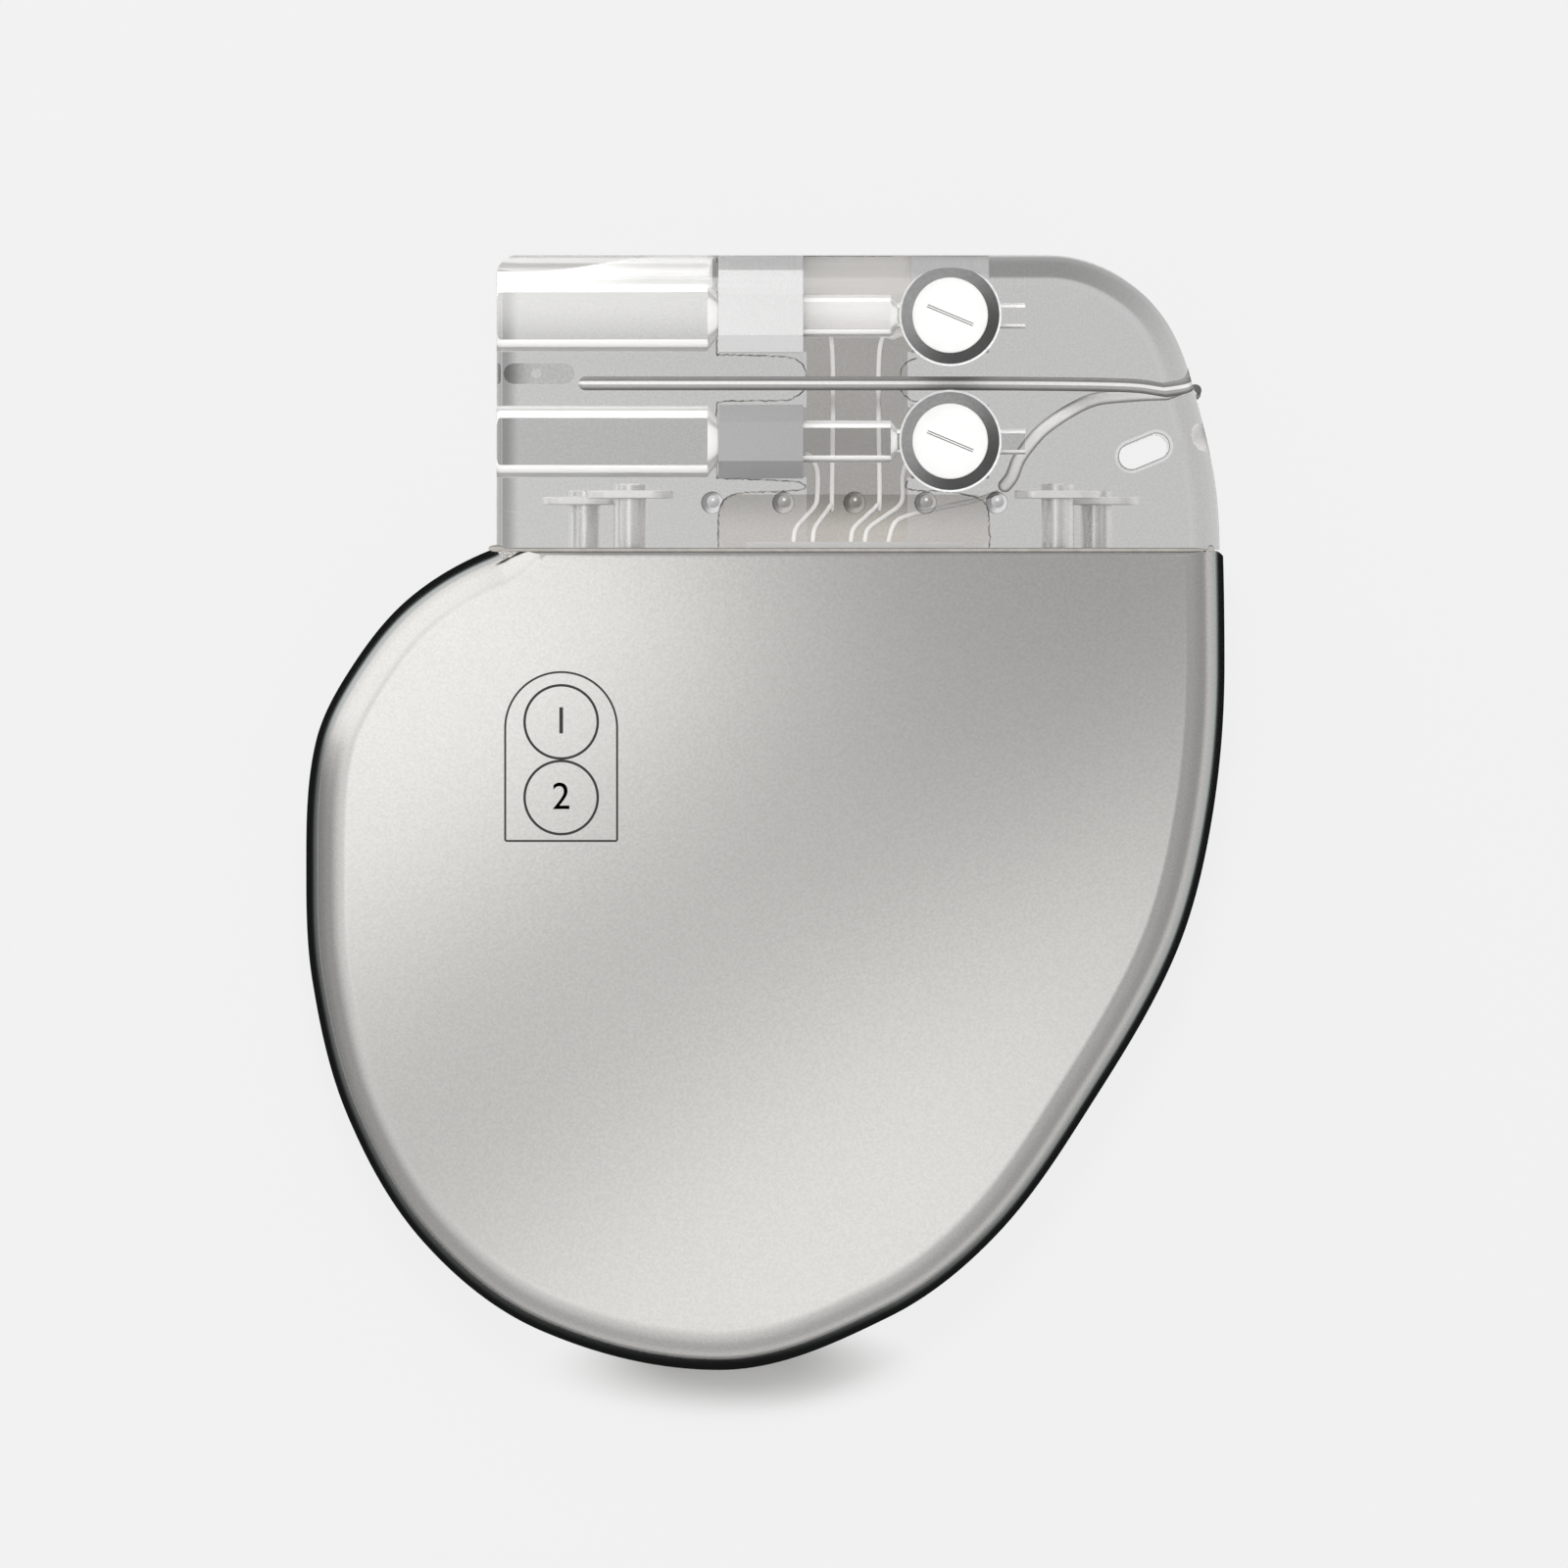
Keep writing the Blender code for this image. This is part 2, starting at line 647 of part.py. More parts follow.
def build_battery():
    """Liners, the battery that fills the lower can, and its two pins."""
    rear_liner_low = CAN_WALL + FIT
    front_liner_high = CAN_THICK - CAN_WALL - FIT
    liner_top = half_space("liner_top", CAN_TOP - CAN_RIM)
    for name, low in (("rear_liner", rear_liner_low), ("front_liner", front_liner_high - LINER_THICK)):
        liner = outline(name, can_anchors(), low, low + LINER_THICK, CAN_RIM)
        keep(carve(liner, [liner_top], "INTERSECT"), "liner_film")

    inset = CAN_WALL + FIT + BAND_THICK + BATTERY_SIDE_GAP
    low = rear_liner_low + LINER_THICK + FIT
    battery = outline("battery", can_anchors(), low, CAN_THICK - low, inset, BATTERY_RIM)
    keep(carve(battery, [half_space("battery_top", BATTERY_TOP)], "INTERSECT"), "battery_case")
    for i, share in enumerate(BATTERY_PIN_SHARES, start=1):
        start = (share * CAN_WIDTH, BATTERY_TOP + FIT, MID_PLANE)
        end = (share * CAN_WIDTH, BATTERY_TOP + FIT + BATTERY_PIN_LENGTH, MID_PLANE)
        keep(rod(f"battery_pin_{i}", start, end, BATTERY_PIN_R, SMALL_SIDES), "polished_metal")


def on_board(name, share, size, finish, side=1):
    """A component on the board's front (side 1) or back (side -1), at a share of the can's width."""
    face = MID_PLANE + side * (BOARD_THICK / 2 + FIT)
    centre = (share * CAN_WIDTH, (BOARD_BOTTOM + BOARD_TOP) / 2, face + side * size[2] / 2)
    return keep(centred_box(name, centre, size, CHIP_EDGE), finish)


def build_electronics():
    """The board in the upper can and what is soldered on it."""
    inset = CAN_WALL + FIT + BAND_THICK + FIT
    low = MID_PLANE - BOARD_THICK / 2
    board = outline("circuit_board", can_anchors(), low, low + BOARD_THICK, inset)
    limits = half_space("board_limits", BOARD_TOP, bottom=BOARD_BOTTOM)
    keep(carve(board, [limits], "INTERSECT"), "board_green")

    on_board("processor_chip", PROCESSOR_SHARE, PROCESSOR_SIZE, "chip_black")
    on_board("memory_chip", MEMORY_SHARE, MEMORY_SIZE, "chip_black")
    for i, share in enumerate(CAPACITOR_SHARES, start=1):
        on_board(f"output_capacitor_{i}", share, CAPACITOR_SIZE, "capacitor_tan")
    on_board("timing_crystal", CRYSTAL_SHARE, CRYSTAL_SIZE, "polished_metal")
    on_board("motion_sensor", SENSOR_SHARE, SENSOR_SIZE, "chip_black")
    on_board("magnet_switch", SWITCH_SHARE, SWITCH_SIZE, "ceramic")

    core_length, core_width, core_thick = CORE_SIZE
    lap = 2 * (COIL_THICK + FIT)
    winding = (COIL_LENGTH, core_width + lap, core_thick + lap)
    coil = on_board("telemetry_coil", CORE_SHARE, winding, "copper", side=-1)
    centre_z = MID_PLANE - BOARD_THICK / 2 - FIT - winding[2] / 2
    centre = (CORE_SHARE * CAN_WIDTH, (BOARD_BOTTOM + BOARD_TOP) / 2, centre_z)
    bore = (core_length, core_width + 2 * FIT, core_thick + 2 * FIT)
    carve(coil, [as_cutter(centred_box("coil_bore", centre, bore))])
    keep(centred_box("telemetry_core", centre, CORE_SIZE, CHIP_EDGE), "ferrite")


def wire_hole(name, points):
    """A fat copy of a wire that runs on past both ends, for the hole it lies in."""
    first = points[0] + (points[0] - points[1]).normalized() * HOLE_REACH
    last = points[-1] + (points[-1] - points[-2]).normalized() * HOLE_REACH
    return as_cutter(to_mesh(tube(f"{name}_hole", [first, *points[1:-1], last], WIRE_R + FIT)))


def build_feedthrough():
    """Flange, ceramic and filter that bring five wires through the can's top."""
    holes = []
    for i, place in enumerate(PIN_PLACES, start=1):
        x = FLANGE_LEFT + place
        low, high = (x, NECK_BOTTOM - OVERRUN, MID_PLANE), (x, FLANGE_TOP + OVERRUN, MID_PLANE)
        holes.append(as_cutter(rod(f"pin_hole_{i}", low, high, WIRE_R + FIT, SMALL_SIDES)))
    flange = box(
        "feedthrough_flange",
        (FLANGE_LEFT, CAN_TOP + FIT, MID_PLANE - FLANGE_DEPTH / 2),
        (FLANGE_RIGHT, FLANGE_TOP, MID_PLANE + FLANGE_DEPTH / 2),
    )
    neck_left, neck_right = FLANGE_LEFT + NECK_MARGIN, FLANGE_RIGHT - NECK_MARGIN
    neck = box(
        "flange_neck",
        (neck_left, NECK_BOTTOM, MID_PLANE - NECK_HALF_DEPTH),
        (neck_right, FLANGE_TOP - FLANGE_THICK / 2, MID_PLANE + NECK_HALF_DEPTH),
    )
    ceramic_left, ceramic_right = neck_left + CERAMIC_WALL, neck_right - CERAMIC_WALL
    seat = box(
        "ceramic_seat",
        (ceramic_left - FIT, NECK_BOTTOM - OVERRUN, MID_PLANE - CERAMIC_HALF_DEPTH - FIT),
        (ceramic_right + FIT, FLANGE_TOP + OVERRUN, MID_PLANE + CERAMIC_HALF_DEPTH + FIT),
    )
    carve(flange, [as_cutter(neck)], "UNION")
    keep(carve(flange, [as_cutter(seat)]), "titanium")

    ceramic = box(
        "feedthrough_ceramic",
        (ceramic_left, NECK_BOTTOM, MID_PLANE - CERAMIC_HALF_DEPTH),
        (ceramic_right, FLANGE_TOP, MID_PLANE + CERAMIC_HALF_DEPTH),
    )
    keep(carve(ceramic, holes), "ceramic")
    block = box(
        "filter_capacitor",
        (ceramic_left, FILTER_TOP - FILTER_LENGTH, MID_PLANE - NECK_HALF_DEPTH),
        (ceramic_right, FILTER_TOP, MID_PLANE + NECK_HALF_DEPTH),
    )
    keep(carve(block, holes), "capacitor_tan")


def block_section(row, grow):
    """The octagon of a contact block about a bore, in (y, z)."""
    half = BLOCK_HEIGHT / 2 + grow
    flat = BLOCK_HEIGHT / 2 - BLOCK_CHAMFER + grow * math.tan(math.pi / 8)
    corners = ((flat, -half), (half, -flat), (half, flat), (flat, half))
    corners += tuple((-y, -z) for y, z in corners)
    return [(row + y, MID_PLANE + z) for y, z in corners]


def pocket_section(row):
    """A block's octagon with its back half drawn out square through the header's back."""
    half = BLOCK_HEIGHT / 2 + FIT
    flat = BLOCK_HEIGHT / 2 - BLOCK_CHAMFER + FIT * math.tan(math.pi / 8)
    back = HEADER_BACK - OVERRUN
    corners = ((half, back - MID_PLANE), (half, flat), (flat, half), (-flat, half), (-half, flat))
    corners += ((-half, back - MID_PLANE),)
    return [(row + y, MID_PLANE + z) for y, z in corners]


def bore_profile():
    """The stepped lead bore, from its blind end out past the port face."""
    ring_cone = RING_BORE_DEPTH + RING_CONE_LENGTH
    rear_cone = REAR_BORE_DEPTH + REAR_CONE_LENGTH
    return (
        (0.0, PIN_BORE_DEPTH),
        (PIN_BORE_R, PIN_BORE_DEPTH),
        (PIN_BORE_R, ring_cone),
        (RING_BORE_R, RING_BORE_DEPTH),
        (RING_BORE_R, rear_cone),
        (REAR_BORE_R, REAR_BORE_DEPTH),
        (REAR_BORE_R, -OVERRUN),
        (0.0, -OVERRUN),
    )


def well_profile():
    """The screw well, from above the header's front down to the block."""
    slope = (WELL_RIM_R - WELL_R) / WELL_CONE_DEPTH
    return (
        (0.0, HEADER_FRONT + OVERRUN),
        (WELL_RIM_R + slope * OVERRUN, HEADER_FRONT + OVERRUN),
        (WELL_R, PLUG_TOP),
        (WELL_R, BLOCK_FRONT - FIT),
        (0.0, BLOCK_FRONT - FIT),
    )


def build_contacts():
    """Per port: ring block with its spring, tip block, set screw and seal plug."""
    for row_name, row in zip(ROW_NAMES, PORT_ROWS):
        bore = as_cutter(turned(f"{row_name}_bore", bore_profile(), (PORT_FACE, row, MID_PLANE), ALONG_X))
        ring_middle = (RING_BLOCK_LEFT + RING_BLOCK_RIGHT) / 2
        groove_r = RING_BORE_R + SPRING_GROOVE_DEPTH
        groove = rod(
            f"{row_name}_spring_groove",
            (ring_middle - SPRING_GROOVE_WIDTH / 2, row, MID_PLANE),
            (ring_middle + SPRING_GROOVE_WIDTH / 2, row, MID_PLANE),
            groove_r,
        )
        ring = prism_along_x(
            f"{row_name}_ring_block", block_section(row, 0.0), RING_BLOCK_LEFT, RING_BLOCK_RIGHT
        )
        keep(carve(ring, [bore, as_cutter(groove)]), "polished_metal")
        spring = torus(f"{row_name}_ring_spring", groove_r - FIT - SPRING_WIRE_R, SPRING_WIRE_R)
        spring.matrix_world = Matrix.Translation((ring_middle, row, MID_PLANE)) @ ALONG_X
        keep(spring, "polished_metal")

        thread = rod(
            f"{row_name}_thread",
            (SCREW_X, row, MID_PLANE),
            (SCREW_X, row, BLOCK_FRONT + OVERRUN),
            SCREW_R + SCREW_RUNNING_FIT,
        )
        tip = prism_along_x(f"{row_name}_tip_block", block_section(row, 0.0), TIP_BLOCK_LEFT, TIP_BLOCK_RIGHT)
        keep(carve(tip, [bore, as_cutter(thread)]), "polished_metal")

        screw_top = SCREW_BOTTOM + SCREW_LENGTH
        screw = rod(
            f"{row_name}_set_screw", (SCREW_X, row, SCREW_BOTTOM), (SCREW_X, row, screw_top), SCREW_R
        )
        socket = rod(
            f"{row_name}_socket",
            (SCREW_X, row, screw_top - SOCKET_DEPTH),
            (SCREW_X, row, screw_top + OVERRUN),
            SOCKET_WIDTH / math.sqrt(3),
            HEX_SIDES,
        )
        keep(carve(screw, [as_cutter(socket)]), "polished_metal")

        plug = rod(
            f"{row_name}_seal_plug", (SCREW_X, row, PLUG_TOP - PLUG_THICK), (SCREW_X, row, PLUG_TOP), PLUG_R
        )
        slit = centred_box(
            f"{row_name}_slit", (0.0, 0.0, 0.0), (SLIT_LENGTH, SLIT_WIDTH, 2 * SLIT_DEPTH)
        )
        slit.matrix_world = Matrix.Translation((SCREW_X, row, PLUG_TOP)) @ Matrix.Rotation(SLIT_ANGLE, 4, "Z")
        keep(carve(plug, [as_cutter(slit)]), "silicone")


def torus(name, ring_r, wire_r):
    """A ring of round wire about the local Z axis."""
    profile = []
    for i in range(HEX_SIDES + 1):
        angle = math.tau * i / HEX_SIDES
        profile.append((ring_r - wire_r * math.cos(angle), wire_r * math.sin(angle)))
    return turned(name, profile, (0.0, 0.0, 0.0))


def lead_routes():
    """Each lead wire's route from the board to its contact block."""
    upper, lower = PORT_ROWS
    ends = (
        (RING_BLOCK_RIGHT + FIT, lower - RING_HOOK_DROP),
        (RING_BLOCK_RIGHT + FIT, upper - RING_HOOK_DROP),
        (TIP_BLOCK_LEFT - FIT, upper - TIP_HOOK_DROP),
        (TIP_BLOCK_LEFT - FIT, lower - TIP_HOOK_DROP),
    )
    routes = []
    for pin, column, (end_x, end_y) in zip(PIN_PLACES, COLUMN_PLACES, ends):
        pin_x, column_x = FLANGE_LEFT + pin, FLANGE_LEFT + column
        route = [(pin_x, WIRE_START, MID_PLANE), (pin_x, CAN_TOP, MID_PLANE)]
        for height, aside in RISE_SHARES:
            y = CAN_TOP + RISE_START + height * (RISE_END - RISE_START)
            z = MID_PLANE + aside * (WIRE_PLANE - MID_PLANE)
            route.append((pin_x + aside * (column_x - pin_x), y, z))
        route.append((column_x, end_y - HOOK_BEND, WIRE_PLANE))
        sag = end_y - HOOK_SAG_SHARE * HOOK_BEND
        route.append(((column_x + end_x) / 2, sag, (WIRE_PLANE + HOOK_PLANE) / 2))
        route.append((end_x, end_y, HOOK_PLANE))
        routes.append(route)
    return routes


def antenna_route():
    """The antenna rod: along the front, round at the right side and back behind itself."""
    middle = (ANTENNA_PLANE + ANTENNA_BACK_PLANE) / 2
    bend_r = (ANTENNA_PLANE - ANTENNA_BACK_PLANE) / 2
    front = [header_place(shares, ANTENNA_PLANE) for shares in ANTENNA_FRONT_SHARES]
    start = (PORT_FACE + ANTENNA_INDENT, front[0][1], ANTENNA_PLANE)
    outer = header_place(ANTENNA_BEND_SHARES, middle)
    half_way = bend_r * math.sqrt(0.5)
    shoulder = outer[0] - bend_r + half_way
    bend = [
        (shoulder, outer[1], middle + half_way),
        outer,
        (shoulder, outer[1], middle - half_way),
    ]
    back = [behind_place(shares) for shares in ANTENNA_BACK_SHARES]
    return [start] + front + bend + back


def feed_route():
    """The thin wire from the fifth feedthrough pin to the antenna rod's end."""
    pin_x = FLANGE_LEFT + PIN_PLACES[-1]
    end = Vector(behind_place(ANTENNA_BACK_SHARES[-1]))
    before = Vector(behind_place(ANTENNA_BACK_SHARES[-2]))
    start = end + (end - before).normalized() * FEED_GAP
    route = [tuple(start)]
    for i, (aside, height) in enumerate(FEED_SHARES, start=1):
        rise = (i / len(FEED_SHARES)) ** 2
        plane = ANTENNA_BACK_PLANE + rise * (MID_PLANE - ANTENNA_BACK_PLANE)
        route.append((pin_x + aside * (end.x - pin_x), CAN_TOP + height * HEADER_HEIGHT, plane))
    route.append((pin_x, CAN_TOP + RISE_START, MID_PLANE))
    route.append((pin_x, CAN_TOP, MID_PLANE))
    route.append((pin_x, WIRE_START, MID_PLANE))
    return route[::-1]


def build_wires():
    """Lead wires, antenna feed and antenna. Returns the holes that they run in."""
    holes = []
    for i, route in enumerate(lead_routes(), start=1):
        path = smooth_path(route, LEAD_STEPS)
        keep(tube(f"lead_wire_{i}", path, WIRE_R), "polished_metal")
        holes.append(wire_hole(f"lead_wire_{i}", path))
    path = smooth_path(feed_route(), LEAD_STEPS)
    keep(tube("antenna_feed_wire", path, WIRE_R), "polished_metal")
    holes.append(wire_hole("antenna_feed_wire", path))
    path = smooth_path(antenna_route(), ANTENNA_STEPS)
    keep(tube("antenna_rod", path, ANTENNA_R), "polished_metal")
    tunnel = as_cutter(to_mesh(tube("antenna_tunnel", path, ANTENNA_R + FIT)))
    return holes, tunnel


def channel_solids(name, grow):
    """The wiring channel's column, base pocket and arms to the blocks, grown by a gap.

    They run out past the header's back and foot.
    """
    back = HEADER_BACK - OVERRUN
    foot = HEADER_FOOT - OVERRUN
    column_top = HEADER_TOP - CHANNEL_TOP_WALL + grow
    column = rounded_rectangle(
        CHANNEL_LEFT - grow, foot, CHANNEL_RIGHT + grow, column_top, CHANNEL_CORNER
    )
    base_right = RING_BLOCK_LEFT + BASE_POCKET_WIDTH + grow
    base_top = CAN_TOP + BASE_POCKET_HEIGHT_SHARE * HEADER_HEIGHT + grow
    base = rounded_rectangle(RING_BLOCK_LEFT - grow, foot, base_right, base_top, CHANNEL_CORNER)
    solids = [
        outline(f"{name}_column", column, back, CHANNEL_FLOOR + grow),
        outline(f"{name}_base", base, back, BASE_POCKET_FLOOR + grow),
    ]
    half = BLOCK_HEIGHT / 2 - ARM_INSET + grow
    for row_name, row in zip(ROW_NAMES, PORT_ROWS):
        low = (RING_BLOCK_RIGHT - ARM_OVERLAP, row - half, back)
        high = (TIP_BLOCK_LEFT + ARM_OVERLAP, row + half, CHANNEL_FLOOR + grow - ARM_STEP)
        solids.append(box(f"{name}_{row_name}_arm", low, high))
    return solids


def post_places():
    """Name, foot place and height of each anchor post."""
    front = (FRONT_POST_PLANE, FRONT_POST_HEIGHT_SHARE * HEADER_HEIGHT)
    rear = (REAR_POST_PLANE, REAR_POST_HEIGHT_SHARE * HEADER_HEIGHT)
    yield "front_left", PORT_FACE + FRONT_LEFT_POST_INDENT, *front
    yield "rear_left", PORT_FACE + REAR_LEFT_POST_INDENT, *rear
    yield "front_right", right_part(FRONT_RIGHT_POST_SHARE), *front
    yield "rear_right", right_part(REAR_RIGHT_POST_SHARE), *rear


def anchor_plate(name, x, plane, top, grow):
    """An oblong plate that lies across a post, drawn flat and tipped up."""
    plate = outline(
        name, oblong((0.0, 0.0), PLATE_LENGTH + 2 * grow, PLATE_WIDTH + 2 * grow), -grow, PLATE_THICK + grow
    )
    tip_up = Matrix.Rotation(-math.pi / 2, 4, "X")
    plate.matrix_world = Matrix.Translation((x, top - PLATE_THICK, plane)) @ tip_up @ plate.matrix_world
    return plate


def build_anchors():
    """Posts and plates that lock the header on. Returns the spaces that they fill in it."""
    spaces = []
    for name, x, plane, height in post_places():
        foot, top = CAN_TOP + FIT, CAN_TOP + height
        plate_top = top - POST_CAP
        post = rod(f"anchor_post_{name}", (x, foot, plane), (x, top, plane), POST_R, SMALL_SIDES)
        keep(post, "titanium")
        plate = anchor_plate(f"anchor_plate_{name}", x, plane, plate_top, 0.0)
        low, high = (x, foot - OVERRUN, plane), (x, top + FIT, plane)
        hole = as_cutter(rod(f"post_space_{name}", low, high, POST_R + FIT, SMALL_SIDES))
        keep(carve(plate, [hole]), "titanium")
        spaces += [hole, as_cutter(anchor_plate(f"plate_space_{name}", x, plane, plate_top, FIT))]
    return spaces


def tag_outline(grow):
    """The tag's outline and its height. Grown, it is the slot, which runs out through the port face."""
    left = PORT_FACE + TAG_SETBACK - (OVERRUN if grow else 0.0)
    right = PORT_FACE + TAG_SETBACK + TAG_LENGTH + grow
    middle = (PORT_ROWS[0] + PORT_ROWS[1]) / 2 + TAG_LIFT
    length = right - left
    return oblong(((left + right) / 2, middle), length, TAG_WIDTH + 2 * grow), middle


def build_tag():
    """Identification tag, and the slot that it slides into."""
    low, high = MID_PLANE - TAG_THICK / 2, MID_PLANE + TAG_THICK / 2
    shape, middle = tag_outline(0.0)
    tag = outline("id_tag", shape, low, high)
    hole_x = PORT_FACE + TAG_SETBACK + TAG_HOLE_INDENT
    start, end = (hole_x, middle, low - OVERRUN), (hole_x, middle, high + OVERRUN)
    hole = rod("tag_hole", start, end, TAG_HOLE_R, SMALL_SIDES)
    keep(carve(tag, [as_cutter(hole)]), "tag_grey")
    return as_cutter(outline("tag_slot", tag_outline(FIT)[0], low - FIT, high + FIT))


def dimples():
    """Round-bottomed dimples in a row on the header's front."""
    sphere_r = (DIMPLE_RIM_R**2 + DIMPLE_DEPTH**2) / (2 * DIMPLE_DEPTH)
    made = []
    for i in range(DIMPLE_COUNT):
        bm = bmesh.new()
        bmesh.ops.create_uvsphere(bm, u_segments=SMALL_SIDES, v_segments=SMALL_SIDES, radius=sphere_r)
        ball = mesh_object(f"dimple_{i + 1}", bm)
        x = PORT_FACE + DIMPLE_INDENT + i * DIMPLE_PITCH
        y = CAN_TOP + DIMPLE_HEIGHT_SHARE * HEADER_HEIGHT
        ball.location = (x, y, HEADER_FRONT + sphere_r - DIMPLE_DEPTH)
        made.append(as_cutter(ball))
    return made


def build_header(wire_holes, tunnel, anchor_spaces, tag_slot):
    """The clear moulding, and the adhesive in its wiring channel."""
    header = outline("header_body", header_anchors(), HEADER_BACK, HEADER_FRONT, 0.0, HEADER_RIM)
    port_side = rounded_rectangle(
        PORT_FACE, HEADER_FOOT - DEEP_OVERRUN, CAN_WIDTH, HEADER_TOP, PORT_CORNER
    )
    trim = as_cutter(outline("port_face_trim", port_side, HEADER_BACK, HEADER_FRONT, 0.0, PORT_RIM))
    foot = half_space("header_foot", HEADER_TOP + OVERRUN, bottom=HEADER_FOOT)
    carve(header, [trim, foot], "INTERSECT")

    flange_space = box(
        "flange_space",
        (FLANGE_LEFT - FIT, CAN_TOP - OVERRUN, MID_PLANE - FLANGE_DEPTH / 2 - FIT),
        (FLANGE_RIGHT + FIT, FLANGE_TOP + FIT, MID_PLANE + FLANGE_DEPTH / 2 + FIT),
    )
    flange_space = as_cutter(flange_space)
    slot_centre = header_place(SLOT_PLACE_SHARES, MID_PLANE)
    slot = outline(
        "suture_slot",
        oblong(slot_centre, SLOT_LENGTH, SLOT_WIDTH, SLOT_ANGLE),
        HEADER_BACK - OVERRUN,
        HEADER_FRONT + OVERRUN,
    )
    blocks = []
    for row_name, row in zip(ROW_NAMES, PORT_ROWS):
        place = (PORT_FACE, row, MID_PLANE)
        bore = as_cutter(turned(f"{row_name}_port", bore_profile(), place, ALONG_X))
        well = as_cutter(turned(f"{row_name}_well", well_profile(), (SCREW_X, row, 0.0)))
        carve(header, [bore, well])
        for kind, left, right in (
            ("ring", RING_BLOCK_LEFT, RING_BLOCK_RIGHT),
            ("tip", TIP_BLOCK_LEFT, TIP_BLOCK_RIGHT),
        ):
            name = f"{row_name}_{kind}"
            pocket = prism_along_x(f"{name}_pocket", pocket_section(row), left - FIT, right + FIT)
            carve(header, [as_cutter(pocket)])
            space = prism_along_x(f"{name}_space", block_section(row, FIT), left - FIT, right + FIT)
            blocks.append((as_cutter(space), row, left, right, name))
    carve(header, [as_cutter(solid) for solid in channel_solids("channel", 0.0)])
    carve(header, [flange_space, as_cutter(slot), tag_slot, tunnel, wire_holes[-1]])
    carve(header, anchor_spaces)
    carve(header, dimples())
    keep(header, "clear_moulding")

    fill, base, *arms = channel_solids("fill", -FIT)
    fill.name = "channel_adhesive"
    backs = []
    for space, row, left, right, name in blocks:
        half = BLOCK_HEIGHT / 2 - ARM_INSET / 2
        low = (left + FIT, row - half, HEADER_BACK - DEEP_OVERRUN)
        high = (right - FIT, row + half, MID_PLANE - PIN_BORE_R)
        backs.append(box(f"{name}_backfill", low, high))
    carve(fill, [as_cutter(solid) for solid in (base, *arms, *backs)], "UNION")
    carve(fill, [space for space, *_ in blocks])
    carve(fill, [flange_space, tunnel, *wire_holes, *anchor_spaces])
    limits = box("fill_limits", (-WIDE, HEADER_FOOT, HEADER_BACK), (WIDE, HEADER_TOP, HEADER_FRONT))
    carve(fill, [as_cutter(limits)], "INTERSECT")
    keep(fill, "adhesive")


clear_scene()
PART = new_collection("cardiac_pacemaker")
CUTTERS = new_collection("cutters")
build_can()
build_battery()
build_electronics()
wire_holes, antenna_tunnel = build_wires()
build_feedthrough()
build_contacts()
build_header(wire_holes, antenna_tunnel, build_anchors(), build_tag())
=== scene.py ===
import json
import math

import bmesh
import bpy
from mathutils import Matrix, Vector, noise

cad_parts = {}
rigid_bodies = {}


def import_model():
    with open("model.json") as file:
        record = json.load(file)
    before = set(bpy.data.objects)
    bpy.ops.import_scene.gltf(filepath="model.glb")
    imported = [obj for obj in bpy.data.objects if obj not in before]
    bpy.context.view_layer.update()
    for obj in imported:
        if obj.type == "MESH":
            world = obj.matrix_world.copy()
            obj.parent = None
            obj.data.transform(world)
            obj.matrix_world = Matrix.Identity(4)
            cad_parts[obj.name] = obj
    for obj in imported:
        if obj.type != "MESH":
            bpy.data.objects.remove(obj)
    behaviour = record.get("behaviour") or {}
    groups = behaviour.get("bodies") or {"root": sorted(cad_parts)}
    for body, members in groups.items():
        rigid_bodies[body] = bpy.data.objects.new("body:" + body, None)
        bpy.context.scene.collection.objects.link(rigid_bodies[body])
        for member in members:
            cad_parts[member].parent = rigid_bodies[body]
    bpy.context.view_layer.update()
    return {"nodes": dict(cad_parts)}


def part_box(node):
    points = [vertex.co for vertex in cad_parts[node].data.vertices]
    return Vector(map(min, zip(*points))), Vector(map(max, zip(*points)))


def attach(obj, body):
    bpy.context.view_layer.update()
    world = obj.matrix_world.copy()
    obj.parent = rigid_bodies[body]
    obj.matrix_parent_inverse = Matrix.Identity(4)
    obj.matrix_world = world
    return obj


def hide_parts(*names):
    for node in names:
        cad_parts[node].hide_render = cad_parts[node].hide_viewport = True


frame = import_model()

MM = 0.001
GENERATOR = "generator"
can_low, can_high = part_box("rear_shell")[0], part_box("front_shell")[1]
header_low, header_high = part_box("header_body")

# Camera
# The device lies on its back, and the photograph shows it square on through a long lens: the
# camera looks straight down from 1.2 m above the can's widest level.
PHOTO_SIDE = 1600
PHOTO_SCALE = 21.06 / MM
PHOTO_ORIGIN = (781.0, 829.4)
CAMERA_HEIGHT = 1200 * MM
WIDEST_LEVEL = 5.5 * MM
SENSOR = 36.0

camera_data = bpy.data.cameras.new("camera")
camera_data.sensor_width = SENSOR
camera_data.lens = SENSOR * CAMERA_HEIGHT * PHOTO_SCALE / PHOTO_SIDE
camera_data.clip_start = 10 * MM
camera = bpy.data.objects.new("camera", camera_data)
middle_x = (PHOTO_SIDE / 2 - PHOTO_ORIGIN[0]) / PHOTO_SCALE
middle_y = (PHOTO_ORIGIN[1] - PHOTO_SIDE / 2) / PHOTO_SCALE
camera.location = (middle_x, middle_y, WIDEST_LEVEL + CAMERA_HEIGHT)
bpy.context.scene.collection.objects.link(camera)
bpy.context.scene.camera = camera
bpy.context.scene.view_settings.view_transform = "Standard"


